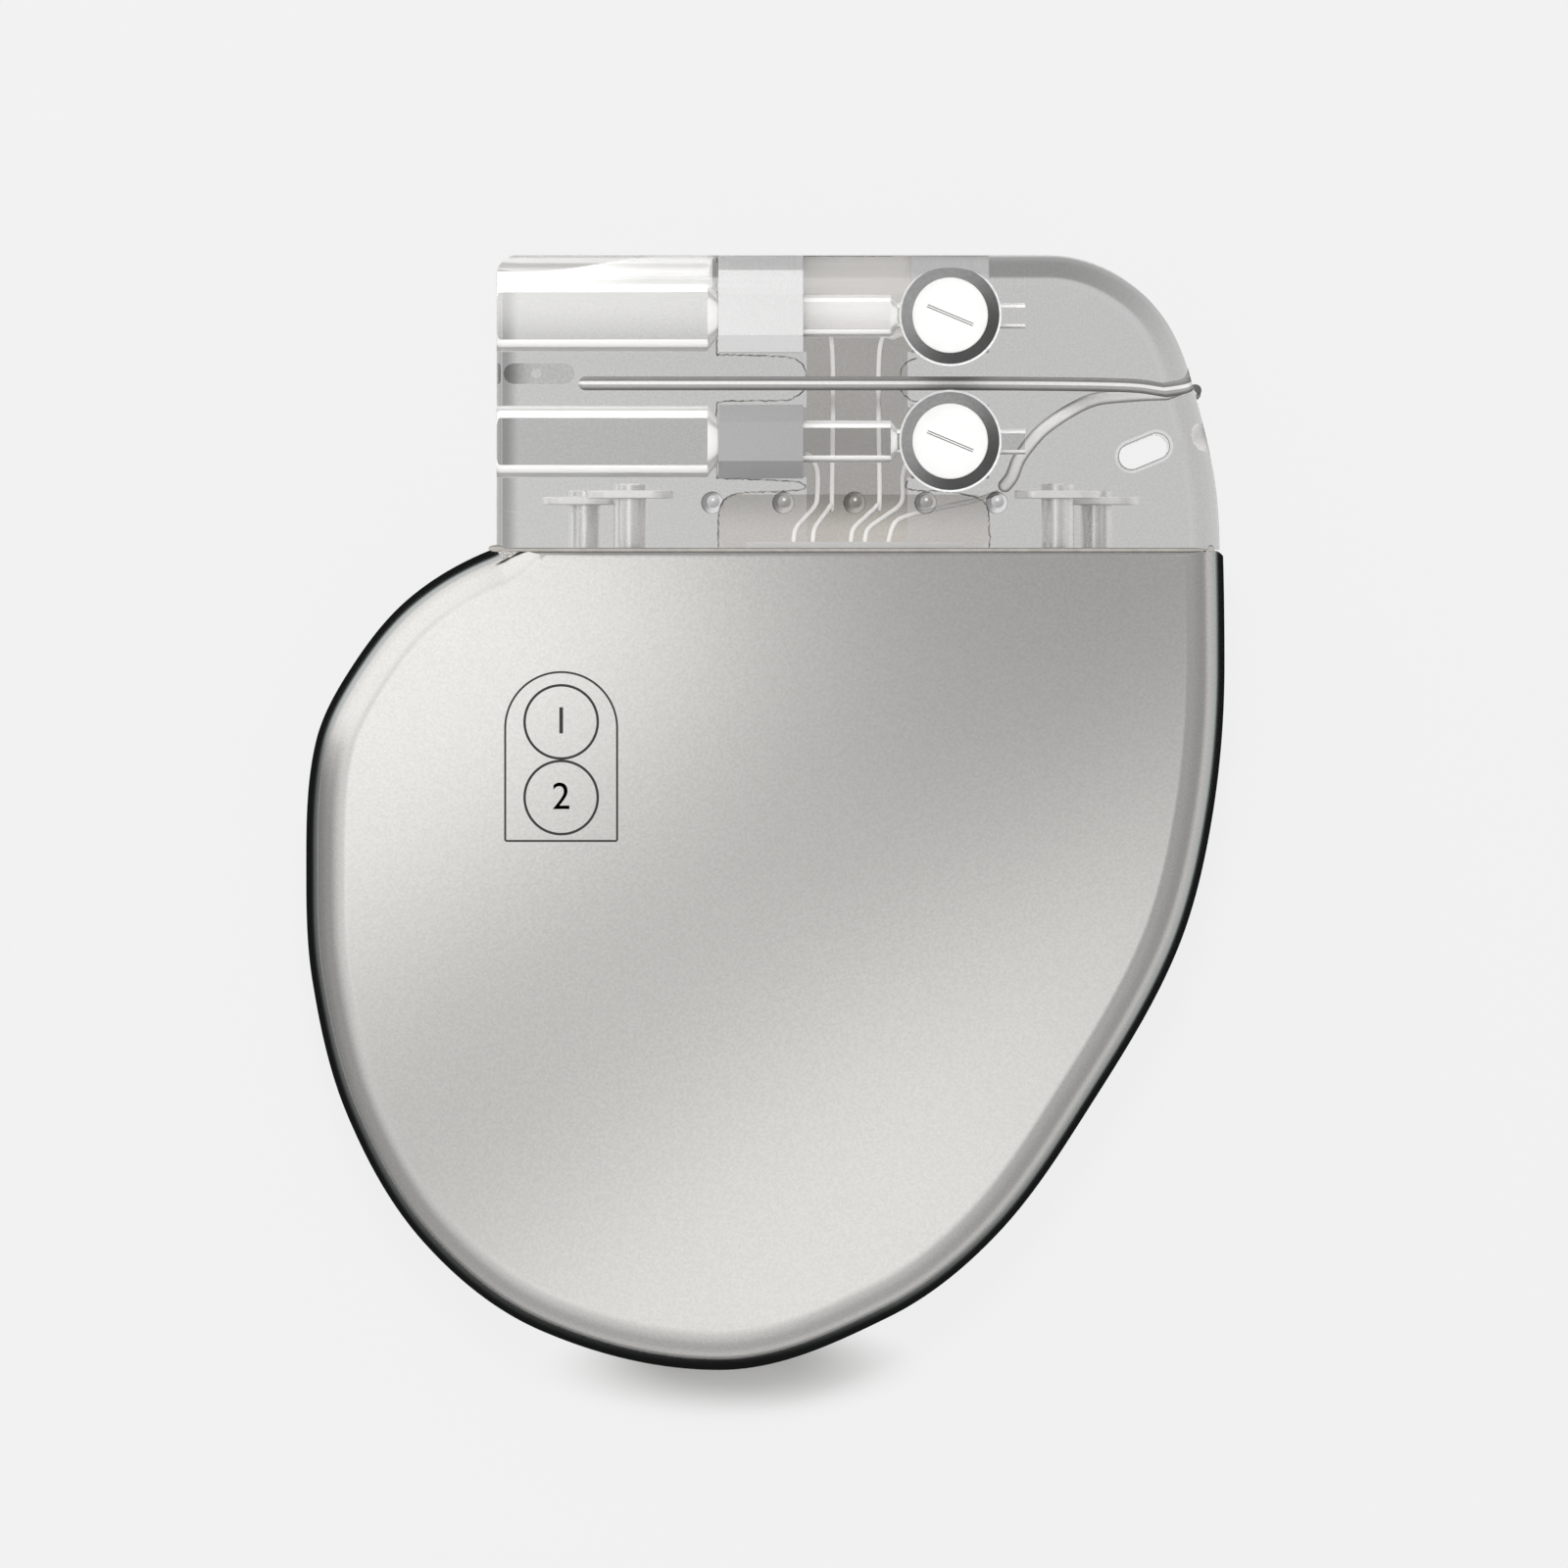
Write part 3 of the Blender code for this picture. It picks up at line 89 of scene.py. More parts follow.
# Floor and light
# A pale floor in a white studio, which glows except where the shadow falls. The satin can mirrors
# a lit panel, darker along a diagonal, as its grey band. A lamp throws the shadow.
STUDIO_WHITE = (1.0, 0.995, 0.985, 1.0)
FLOOR_SIDE = 4.0
FLOOR_GAP = 0.02 * MM
FLOOR_COLOUR = (0.88, 0.88, 0.88, 1.0)
FLOOR_GLOW_SHARES = (0.0, 0.94)
SHADOW_CENTRE = (-1.5 * MM, -27.0 * MM, 0.0)
SHADOW_REACH = (12.5 * MM, 3.4 * MM)
SHADOW_EDGE = (0.2, 0.8)
PANEL_HEIGHT = 100 * MM
PANEL_R = 66 * MM
PANEL_SCALE = 216 * MM
PANEL_RUN, PANEL_RISE = 0.81, 0.59
CARD_LIFT = 0.03 * MM
CARD_R = 200 * MM
CARD_COLOUR = (0.93, 1.0, 1.0, 1.0)
CARD_OPENING = ((-13.5 * MM, 12.5 * MM), (22.5 * MM, 27.5 * MM))
CARD_FADE = (34 * MM, 50 * MM)
CARD_LEAST = 0.012
# Levels of light to the left, right, near, far and upper left
CARD_LEVELS = (0.21, 0.72, 0.0, 0.3, 0.9)
HORIZON_LEVELS = (0.19, 0.72, 0.03, 0.45, 0.95)
ABOVE = (
    (0.0, 0.15, (0.38, 0.85, 0.82, 0.5, 1.35)),
    (0.27, 0.50, (0.48, 0.48, 0.66, 0.5, 1.5)),
    (0.64, 1.0, (1.0, 0.57, 1.0, 0.9, 1.5)),
)
STRAIGHT_DOWN_LEVEL = 0.58
BELOW = (
    (-0.9997, -0.997, (0.55, 0.5, 0.30, 0.5, 0.5)),
    (-0.97, -0.88, (0.7, 0.7, 0.45, 0.7, 0.7)),
)
FLOOR_GLOW_START = (-0.88, -0.81)
KEY_PLACE = (0.0, 0.16, 0.38)
KEY_SIDE = 0.10
KEY_POWER = 0.6


def new_material(name):
    """An empty node material and its tree."""
    made = bpy.data.materials.new(name)
    made.use_nodes = True
    made.node_tree.nodes.clear()
    return made, made.node_tree


def add(tree, kind, inputs=None, **settings):
    """A shader node with its settings. Each input is a value or another node's output."""
    made = tree.nodes.new(f"ShaderNode{kind}")
    for key, value in settings.items():
        setattr(made, key, value)
    for key, value in (inputs or {}).items():
        if isinstance(value, bpy.types.NodeSocket):
            tree.links.new(value, made.inputs[key])
        else:
            made.inputs[key].default_value = value
    return made


def maths(tree, operation, *values):
    return add(tree, "Math", dict(enumerate(values)), operation=operation).outputs[0]


def product(tree, first, second):
    return maths(tree, "MULTIPLY", first, second)


def ramp(tree, value, low, high, bottom=0.0, top=1.0):
    """A smooth step from bottom to top as the value goes from low to high."""
    inputs = {"Value": value, "From Min": low, "From Max": high, "To Min": bottom, "To Max": top}
    made = add(tree, "MapRange", inputs, interpolation_type="SMOOTHSTEP")
    return made.outputs["Result"]


def blend(tree, share, first, second):
    """A value that goes from the first to the second as the share goes from 0 to 1."""
    return add(tree, "Mix", {0: share, 2: first, 3: second}, data_type="FLOAT").outputs[0]


def along(tree, vector, direction):
    """How far a vector reaches in a direction."""
    made = add(tree, "VectorMath", {0: vector, 1: direction}, operation="DOT_PRODUCT")
    return made.outputs["Value"]


def scaled(tree, vector, factor):
    return add(tree, "VectorMath", {0: vector, "Scale": factor}, operation="SCALE").outputs[0]


def vector_maths(tree, operation, *values):
    return add(tree, "VectorMath", dict(enumerate(values)), operation=operation).outputs[0]


def length_of(tree, vector):
    return add(tree, "VectorMath", {0: vector}, operation="LENGTH").outputs["Value"]


def object_place(tree):
    """The position in the object's own axes."""
    return add(tree, "TexCoord").outputs["Object"]


def mix_shaders(tree, share, first, second):
    return add(tree, "MixShader", {"Fac": share, 1: first.outputs[0], 2: second.outputs[0]})


def see_through(tree, colour):
    return add(tree, "BsdfTransparent", {"Color": colour})


def show(tree, shader):
    """Send a shader to the material's output."""
    add(tree, "OutputMaterial", {"Surface": shader.outputs[0]})


def around(tree, direction, left, right, near, far, corner):
    """A level that turns with a direction's bearing, with its own value towards the upper left."""
    bearing = vector_maths(tree, "NORMALIZE", vector_maths(tree, "MULTIPLY", direction, (1.0, 1.0, 0.0)))
    aside, ahead = along(tree, bearing, (1.0, 0.0, 0.0)), along(tree, bearing, (0.0, 1.0, 0.0))
    beside = blend(tree, ramp(tree, aside, -0.4, 0.4), left, right)
    facing = blend(tree, ramp(tree, ahead, -0.4, 0.4), near, far)
    level = blend(tree, product(tree, aside, aside), facing, beside)
    diagonal = ramp(tree, along(tree, bearing, (-0.7071, 0.7071, 0.0)), 0.76, 0.96)
    return blend(tree, diagonal, level, corner)


def object_from(name, bm):
    mesh = bpy.data.meshes.new(name)
    bm.to_mesh(mesh)
    bm.free()
    return bpy.data.objects.new(name, mesh)


floor_material, tree = new_material("floor")
light_path = add(tree, "LightPath")
seen = maths(tree, "MAXIMUM", light_path.outputs["Is Camera Ray"], light_path.outputs["Is Glossy Ray"])
offset = vector_maths(tree, "SUBTRACT", object_place(tree), SHADOW_CENTRE)
offset = vector_maths(tree, "MULTIPLY", offset, (1 / SHADOW_REACH[0], 1 / SHADOW_REACH[1], 0.0))
unshadowed = ramp(tree, length_of(tree, offset), *SHADOW_EDGE, *FLOOR_GLOW_SHARES)
matt = add(tree, "BsdfDiffuse", {"Color": FLOOR_COLOUR})
glow = add(tree, "Emission", {"Color": FLOOR_COLOUR, "Strength": 1.0})
share = product(tree, seen, unshadowed)
show(tree, mix_shaders(tree, share, matt, glow))

bm = bmesh.new()
bmesh.ops.create_grid(bm, x_segments=1, y_segments=1, size=FLOOR_SIDE / 2)
floor = object_from("floor", bm)
floor.location.z = -FLOOR_GAP
floor.data.materials.append(floor_material)
floor.visible_transmission = False

# A dark card under the device, seen in mirror reflections only, darkens the can's rounded edge.
card_material, tree = new_material("dark_card")
place = object_place(tree)
level = ramp(tree, length_of(tree, place), *CARD_FADE)
level = product(tree, around(tree, place, *CARD_LEVELS), level)
level = maths(tree, "ADD", level, CARD_LEAST)
dark = add(tree, "Emission", {"Color": CARD_COLOUR, "Strength": level})
show(tree, dark)
(left, near_y), (right, far_y) = CARD_OPENING
bm = bmesh.new()
for low_x, low_y, high_x, high_y in (
    (-CARD_R, -CARD_R, CARD_R, near_y),
    (-CARD_R, near_y, left, far_y),
    (right, near_y, CARD_R, far_y),
    (-CARD_R, far_y, CARD_R, CARD_R),
):
    corners = ((low_x, low_y), (high_x, low_y), (high_x, high_y), (low_x, high_y))
    bm.faces.new([bm.verts.new((*corner, 0.0)) for corner in corners])
card = object_from("dark_card", bm)
card.location.z = CARD_LIFT
card.data.materials.append(card_material)
card.visible_camera = False
card.visible_diffuse = False
card.visible_transmission = False
card.visible_shadow = False
for stage in (floor, card):
    bpy.context.scene.collection.objects.link(stage)

world = bpy.data.worlds.new("studio")
bpy.context.scene.world = world
world.use_nodes = True
tree = world.node_tree
tree.nodes.clear()
direction = add(tree, "TexCoord").outputs["Generated"]
upward = along(tree, direction, (0.0, 0.0, 1.0))
above = around(tree, direction, *HORIZON_LEVELS)
for low, high, levels in ABOVE:
    above = blend(tree, ramp(tree, upward, low, high), above, around(tree, direction, *levels))
below = STRAIGHT_DOWN_LEVEL
for low, high, levels in BELOW:
    below = blend(tree, ramp(tree, upward, low, high), below, around(tree, direction, *levels))
below = blend(tree, ramp(tree, upward, *FLOOR_GLOW_START), below, 1.0)
light = blend(tree, ramp(tree, upward, -0.02, 0.02), below, above)
sky = add(tree, "Background", {"Color": STUDIO_WHITE, "Strength": light})
add(tree, "OutputWorld", {"Surface": sky.outputs[0]})

# The panel has a glow on each side of a darker diagonal. Its places are shares of PANEL_SCALE.
panel_material, tree = new_material("light_panel")
place = scaled(tree, object_place(tree), 1 / PANEL_SCALE)
across = along(tree, place, (-PANEL_RISE, PANEL_RUN, 0.0))
lengthwise = along(tree, place, (PANEL_RUN, PANEL_RISE, 0.0))
aside = along(tree, place, (1.0, 0.0, 0.0))
gap = ramp(tree, lengthwise, -0.05, 0.11, 0.82, 0.54)
upper_glow = ramp(tree, across, -0.005, 0.065, 0.0, 0.78)
upper_glow = product(tree, upper_glow, ramp(tree, lengthwise, 0.06, -0.02))
upper_glow = product(tree, upper_glow, ramp(tree, aside, -0.19, -0.105, 0.3, 1.0))
lower_glow = ramp(tree, across, -0.02, -0.085, 0.0, 0.54)
lower_glow = product(tree, lower_glow, ramp(tree, aside, 0.165, 0.108))
light = maths(tree, "ADD", gap, maths(tree, "ADD", upper_glow, lower_glow))
fade = ramp(tree, length_of(tree, place), 0.4 * PANEL_R / PANEL_SCALE, PANEL_R / PANEL_SCALE)
lit = add(tree, "Emission", {"Color": STUDIO_WHITE, "Strength": light})
open_air = add(tree, "BsdfTransparent")
show(tree, mix_shaders(tree, fade, lit, open_air))
bm = bmesh.new()
bmesh.ops.create_circle(bm, cap_ends=True, segments=96, radius=PANEL_R)
panel = object_from("light_panel", bm)
panel.location = (middle_x, middle_y, PANEL_HEIGHT)
panel.data.materials.append(panel_material)
panel.visible_camera = False
panel.visible_shadow = False
bpy.context.scene.collection.objects.link(panel)

lamp_data = bpy.data.lights.new("key_lamp", "AREA")
lamp_data.shape = "DISK"
lamp_data.size = KEY_SIDE
lamp_data.energy = KEY_POWER
lamp = bpy.data.objects.new("key_lamp", lamp_data)
lamp.location = KEY_PLACE
lamp.rotation_euler = (-Vector(KEY_PLACE)).to_track_quat("-Z", "Y").to_euler()
lamp.visible_glossy = False
lamp.visible_transmission = False
bpy.context.scene.collection.objects.link(lamp)


# Can
# Two half shells drawn from titanium sheet, bead-blasted, and laser welded all round at
# mid-thickness. The rim is a soft 2 mm round, except along the flat top that carries the header.
CAN_RIM = 2.0 * MM
CAN_WALL = 0.32 * MM
CAN_TOP_EDGE = 0.4 * MM
CAN_CORNER = 0.65 * MM
SEAM = 0.03 * MM
FACE_DROP = 0.003 * MM
OVERRUN = 2.0 * MM
FIT = 0.05 * MM
WHITE_LIFT = 20.0
OUTLINE_STEPS = 20
RIM_STEPS = 10
SHARP_TURN = math.radians(35)
CAN_OUTLINE_SHARES = (
    (-0.301, 1.0, 202),
    (-0.388, 0.942, None),
    (-0.4506, 0.858, None),
    (-0.4895, 0.767, None),
    (-0.5, 0.625, -90),
    (-0.4935, 0.4766, None),
    (-0.4548, 0.31, None),
    (-0.3717, 0.1554, None),
    (-0.2443, 0.048, None),
    (-0.05, 0.0, 0),
    (0.1346, 0.0647, None),
    (0.253, 0.1665, None),
    (0.3557, 0.3259, None),
    (0.4465, 0.5071, None),
    (0.4858, 0.6693, None),
    (0.5, 0.86, 90),
    (0.498, 1.01, 92),
    (0.44, 1.13, None),
    (0.292, 1.171, None),
    (0.067, 1.133, None),
    (-0.13, 1.11, 200),
    (-0.243, 1.062, 222),
)
can_width, can_height = can_high.x - can_low.x, can_high.y - can_low.y
can_top = can_high.y
mid_plane = can_high.z / 2
can_anchors = [(x * can_width, can_low.y + y * can_height, turn) for x, y, turn in CAN_OUTLINE_SHARES]


def turn_between(a, b):
    turn = abs(a - b) % math.tau
    return min(turn, math.tau - turn)


def handle(chord, turn):
    """Handle length that bends a Bezier stretch like an arc of this turn."""
    if turn < math.radians(1):
        return chord / 3
    return chord * 2 * math.tan(turn / 4) / (3 * math.sin(turn / 2))


def plate(name, anchors, low, high, inset=0.0, rim=0.0):
    """A plate from height low to high on a closed smooth outline, with round rims."""
    data = bpy.data.curves.new(name, "CURVE")
    data.dimensions = "2D"
    data.fill_mode = "BOTH"
    data.resolution_u = OUTLINE_STEPS
    data.extrude = (high - low) / 2 - rim
    data.bevel_depth = rim
    data.bevel_resolution = RIM_STEPS
    data.offset = -rim - inset
    spline = data.splines.new("BEZIER")
    spline.bezier_points.add(len(anchors) - 1)
    spline.use_cyclic_u = True
    headings = []
    for i, anchor in enumerate(anchors):
        before, after = anchors[i - 1], anchors[(i + 1) % len(anchors)]
        if anchor[2] is None:
            headings.append(math.atan2(after[1] - before[1], after[0] - before[0]))
        else:
            headings.append(math.radians(anchor[2]))
    for i, point in enumerate(spline.bezier_points):
        last, following = i - 1, (i + 1) % len(anchors)
        point.handle_left_type = "FREE"
        point.handle_right_type = "FREE"
        point.co = (*anchors[i][:2], 0.0)
        forward = Vector((math.cos(headings[i]), math.sin(headings[i]), 0.0))
        back_chord = math.dist(anchors[last][:2], anchors[i][:2])
        next_chord = math.dist(anchors[following][:2], anchors[i][:2])
        back_turn = turn_between(headings[i], headings[last])
        next_turn = turn_between(headings[i], headings[following])
        point.handle_left = point.co - forward * handle(back_chord, back_turn)
        point.handle_right = point.co + forward * handle(next_chord, next_turn)
    curve = bpy.data.objects.new(name, data)
    curve.location.z = (low + high) / 2
    return as_mesh(curve)


def as_mesh(curve):
    """The curve's solid as a closed mesh object, in world place."""
    bpy.context.scene.collection.objects.link(curve)
    mesh = applied(curve)
    mesh.transform(curve.matrix_world)
    name = curve.name
    bpy.data.objects.remove(curve, do_unlink=True)
    bm = bmesh.new()
    bm.from_mesh(mesh)
    bmesh.ops.remove_doubles(bm, verts=bm.verts, dist=0.002 * MM)
    bmesh.ops.recalc_face_normals(bm, faces=bm.faces)
    bm.to_mesh(mesh)
    bm.free()
    mesh.name = name
    return bpy.data.objects.new(name, mesh)


def box(name, low, high):
    """A box between two corners."""
    bm = bmesh.new()
    bmesh.ops.create_cube(bm, size=1)
    bmesh.ops.scale(bm, vec=Vector(high) - Vector(low), verts=bm.verts)
    bmesh.ops.translate(bm, vec=(Vector(low) + Vector(high)) / 2, verts=bm.verts)
    return object_from(name, bm)


def rounded(left, bottom, right, top, radius):
    """Outline anchors of a rectangle with round corners."""
    return (
        (left + radius, bottom, 0),
        (right - radius, bottom, 0),
        (right, bottom + radius, 90),
        (right, top - radius, 90),
        (right - radius, top, 180),
        (left + radius, top, 180),
        (left, top - radius, -90),
        (left, bottom + radius, -90),
    )


def applied(obj):
    """The object's mesh with its modifiers applied."""
    bpy.context.view_layer.update()
    return bpy.data.meshes.new_from_object(obj.evaluated_get(bpy.context.evaluated_depsgraph_get()))


def cut(target, cutters, operation="DIFFERENCE"):
    """Cut, keep or join with solids, and leave the plain result."""
    scene = bpy.context.scene.collection.objects
    scene.link(target)
    for cutter in cutters:
        scene.link(cutter)
        step = target.modifiers.new(cutter.name, "BOOLEAN")
        step.operation = operation
        step.solver = "EXACT"
        step.object = cutter
    made = applied(target)
    target.modifiers.clear()
    made.name = target.name
    target.data = made
    scene.unlink(target)
    for cutter in cutters:
        bpy.data.objects.remove(cutter, do_unlink=True)
    return target


def finish_piece(obj, materials, replaced=()):
    """Shade a piece smooth with true flat faces, dress it, and let it ride the generator."""
    bpy.context.scene.collection.objects.link(obj)
    places = [face.material_index for face in obj.data.polygons]
    obj.data.materials.clear()
    for material in materials:
        obj.data.materials.append(material)
    for face, place in zip(obj.data.polygons, places):
        face.material_index = place
    obj.data.shade_smooth()
    obj.data.set_sharp_from_angle(angle=SHARP_TURN)
    weighted = obj.modifiers.new("flat_faces", "WEIGHTED_NORMAL")
    weighted.keep_sharp = True
    weighted.weight = 100
    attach(obj, GENERATOR)
    if replaced:
        dress(replaced, materials[0])
        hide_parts(*replaced)


def dress(names, material):
    """Give solids of the frame a material."""
    for name in names:
        frame["nodes"][name].data.materials.clear()
        frame["nodes"][name].data.materials.append(material)


def noise_of(tree, place, scale, detail):
    """Cloudy noise, from 0 to 1."""
    return add(tree, "TexNoise", {"Vector": place, "Scale": scale, "Detail": detail}).outputs["Fac"]


def speckled(tree, colour, fac, low, high):
    """A colour that a texture value darkens to low or leaves at high."""
    return scaled(tree, colour, ramp(tree, fac, 0.3, 0.7, low, high))


def lifted(tree, lift):
    """A surface normal turned towards straight up, as if soft light filled the piece from above."""
    normal = add(tree, "NewGeometry").outputs["Normal"]
    raised = vector_maths(tree, "ADD", normal, (0.0, 0.0, lift))
    return vector_maths(tree, "NORMALIZE", raised)


def white_film(tree, colour):
    """A pale surface that takes soft light from above, whichever way it faces."""
    return add(tree, "BsdfDiffuse", {"Color": colour, "Normal": lifted(tree, WHITE_LIFT)})


def all_round_white(tree, colour):
    """A thin white surface that takes soft light from above on both of its sides."""
    front = white_film(tree, colour)
    through = add(tree, "BsdfTranslucent", {"Color": colour, "Normal": lifted(tree, -WHITE_LIFT)})
    return add(tree, "AddShader", {0: front.outputs[0], 1: through.outputs[0]})


def grained(name, colour, roughness, metallic=0.0, size=0.1 * MM, contrast=0.1, relief=0.1, lift=0.0):
    """A plain finish with grain of this size in its colour, gloss and surface."""
    made, tree = new_material(name)
    place = object_place(tree)
    grain = noise_of(tree, place, 1 / size, 3.0)
    tint = speckled(tree, colour, grain, 1 - contrast, 1.0)
    gloss = maths(tree, "MULTIPLY_ADD", grain, contrast, roughness)
    bump = add(tree, "Bump", {"Strength": relief, "Distance": size / 4, "Height": grain})
    if lift:
        tree.links.new(lifted(tree, lift), bump.inputs["Normal"])
    inputs = {"Base Color": tint, "Roughness": gloss, "Metallic": metallic, "Normal": bump.outputs[0]}
    show(tree, add(tree, "BsdfPrincipled", inputs))
    return made


def blasted_titanium(name):
    """Titanium sheet: a fine bead-blasted grain over faint broad clouds in its polish."""
    made, tree = new_material(name)
    place = object_place(tree)
    grain = noise_of(tree, place, 9000.0, 2.0)
    clouds = noise_of(tree, place, 180.0, 3.0)
    gloss = maths(tree, "MULTIPLY_ADD", clouds, 0.02, 0.16)
    tint = speckled(tree, (0.588, 0.58, 0.567), grain, 0.92, 1.0)
    bump = add(tree, "Bump", {"Strength": 0.1, "Distance": 0.01 * MM, "Height": grain})
    inputs = {"Base Color": tint, "Metallic": 1.0, "Roughness": gloss, "Normal": bump.outputs[0]}
    show(tree, add(tree, "BsdfPrincipled", inputs))
    return made


titanium = blasted_titanium("bead_blasted_titanium")
face_high = can_high.z - FACE_DROP
cavity = plate("can_cavity", can_anchors, CAN_WALL, face_high - CAN_WALL, CAN_WALL, CAN_RIM - CAN_WALL)
inner_top = box(
    "inner_top", (-can_width, can_low.y - OVERRUN, 0.0), (can_width, can_top - CAN_WALL, can_high.z)
)
cavity = cut(cavity, [inner_top], "INTERSECT")
hollow_can = cut(plate("hollow_can", can_anchors, can_low.z, face_high, 0.0, CAN_RIM), [cavity])
trim_outline = rounded(-can_width, can_low.y - OVERRUN, can_high.x + FIT, can_top, CAN_CORNER)
trim = plate("can_trim", trim_outline, can_low.z - FIT, face_high + FIT, 0.0, CAN_TOP_EDGE + FIT)
hollow_can = cut(hollow_can, [trim], "INTERSECT")
for name_of_solid, name, low, high in (
    ("front_shell", "can_front", mid_plane + SEAM / 2, face_high + OVERRUN),
    ("rear_shell", "can_rear", can_low.z - OVERRUN, mid_plane - SEAM / 2),
):
    half = box(f"{name}_half", (-can_width, can_low.y - OVERRUN, low), (can_width, can_top + OVERRUN, high))
    shell = cut(bpy.data.objects.new(name, hollow_can.data.copy()), [half], "INTERSECT")
    finish_piece(shell, [titanium], [name_of_solid])

dress(["weld_backing_band"], blasted_titanium("band_titanium"))

# Inside the can
# Two insulating liners of yellow film, the lithium battery in its own steel case with two pins,
# and one board with its chips, all sealed in before the halves are welded.
BATTERY_PINS = ["battery_pin_1", "battery_pin_2"]
OUTPUT_CAPACITORS = ["output_capacitor_1", "output_capacitor_2"]
dress(["front_liner", "rear_liner"], grained("liner_film", (0.75, 0.62, 0.28), 0.35, size=0.6 * MM))
dress(["battery"], grained("battery_steel", (0.55, 0.56, 0.58), 0.3, 1.0, size=0.05 * MM))
dress(BATTERY_PINS, grained("battery_pin_metal", (0.72, 0.70, 0.66), 0.2, 1.0, size=0.04 * MM))
dress(["circuit_board"], grained("board_laminate", (0.04, 0.20, 0.11), 0.4, size=0.25 * MM, contrast=0.3))
dress(["processor_chip"], grained("processor_epoxy", (0.03, 0.03, 0.034), 0.45, size=0.05 * MM, contrast=0.3))
dress(["memory_chip"], grained("memory_epoxy", (0.035, 0.034, 0.036), 0.5, size=0.06 * MM, contrast=0.3))
dress(["motion_sensor"], grained("sensor_epoxy", (0.05, 0.05, 0.055), 0.4, size=0.04 * MM, contrast=0.3))
dress(OUTPUT_CAPACITORS, grained("capacitor_tantalum", (0.62, 0.42, 0.17), 0.45, size=0.08 * MM))
dress(["timing_crystal"], grained("crystal_lid", (0.75, 0.73, 0.68), 0.22, 1.0, size=0.03 * MM))
dress(["magnet_switch"], grained("switch_ceramic", (0.84, 0.82, 0.77), 0.5, size=0.05 * MM))
dress(["telemetry_coil"], grained("coil_copper", (0.72, 0.36, 0.18), 0.3, 1.0, size=0.12 * MM, relief=0.5))
dress(["telemetry_core"], grained("core_ferrite", (0.08, 0.08, 0.09), 0.6, size=0.06 * MM, contrast=0.25))

# Feedthrough
# A machined titanium flange welded into the can's top, with a gold-brazed ceramic that carries
# five wires and a filter capacitor glued on its inner side.
dress(["feedthrough_flange"], grained("flange_titanium", (0.85, 0.845, 0.83), 0.35, 0.6, size=0.04 * MM))
dress(["feedthrough_ceramic"], grained("alumina", (0.88, 0.86, 0.80), 0.45, size=0.05 * MM))
dress(["filter_capacitor"], grained("filter_ceramic", (0.55, 0.38, 0.18), 0.5, size=0.06 * MM))

# Header
# One clear moulding of medical polyurethane, glued to the can's flat top. Stepped lead bores, a
# well over each set screw, a suture slot and a row of dimples are moulded into it.
HEADER_RIM = 1.4 * MM
PORT_RIM = 0.25 * MM
PORT_CORNER = 1.0 * MM
HEADER_OUTLINE_SHARES = (
    (-0.12, 0.9, 90),
    (-0.05, 1.0, 0),
    (0.763, 1.0, 0),
    (0.8946, 0.872, None),
    (0.96, 0.587, -75),
    (0.9974, 0.15, -86),
    (1.0, 0.0, -90),
    (0.95, -0.3, None),
    (0.8, -0.4, 180),
    (0.05, -0.4, 180),
    (-0.12, -0.2, 90),
)
REAR_BORE_R = 1.74 * MM
RING_BORE_R = 1.02 * MM
PIN_BORE_R = 0.62 * MM
REAR_BORE_DEPTH = 10.2 * MM
REAR_CONE = 0.52 * MM
RING_BORE_DEPTH = 19.08 * MM
RING_CONE = 0.31 * MM
PIN_BORE_DEPTH = 25.6 * MM
WELL_RIM_R = 2.48 * MM
WELL_CONE = 0.8 * MM
SLOT_CENTRE_SHARES = (0.895, 0.335)
SLOT_LENGTH = 2.52 * MM
SLOT_WIDTH = 1.22 * MM
SLOT_ANGLE = math.radians(22.5)
SLOT_LIP = 0.2 * MM
DIMPLE_COUNT = 5
DIMPLE_INDENT = 10.44 * MM
DIMPLE_PITCH = 3.44 * MM
DIMPLE_HEIGHT = 2.3 * MM
DIMPLE_R = 0.55 * MM
DIMPLE_DEPTH = 0.34 * MM
BLOCK_SKIN = 0.02 * MM
FOOT_GAP = 0.03 * MM
STREAK_LEFT = -11.5 * MM
STREAK_RIGHT = -4.4 * MM
STREAK_END = (-2.55 * MM, -2.57 * MM)
STREAK_LOW = 26.2 * MM
STREAK_EDGE = (25.36 * MM, 25.48 * MM)
STREAK_SOFTNESS = (-0.02 * MM, 0.05 * MM)
STREAK_FADE = (-11.0 * MM, -5.0 * MM)
RIB_SCALES = (60.0, 4000.0, 60.0)
SPECK_SIZE = 0.09 * MM
WELL_LIP = (0.15 * MM, 0.11 * MM)
CONE_LINE = (0.12 * MM, 0.06 * MM)
LIP_TOP_LINE = (0.05 * MM, 0.02 * MM)
LIP_LOW_LINE = (0.196 * MM, 0.188 * MM)
PORT_BAND_START = (0.16 * MM, 0.24 * MM)
PORT_BAND_END = (1.1 * MM, 0.35 * MM)
BAND_DARKNESS = 0.46
ROUND_SIDES = 96

header_width = header_high.x - header_low.x
header_height = header_high.y - can_top
port_face = header_low.x
header_foot = can_top + FOOT_GAP
plug_low, plug_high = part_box("upper_seal_plug")
screw_x = (plug_low.x + plug_high.x) / 2
plug_top = plug_high.z
plug_r = (plug_high.x - plug_low.x) / 2
rows = {row: sum(corner.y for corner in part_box(f"{row}_seal_plug")) / 2 for row in ("upper", "lower")}


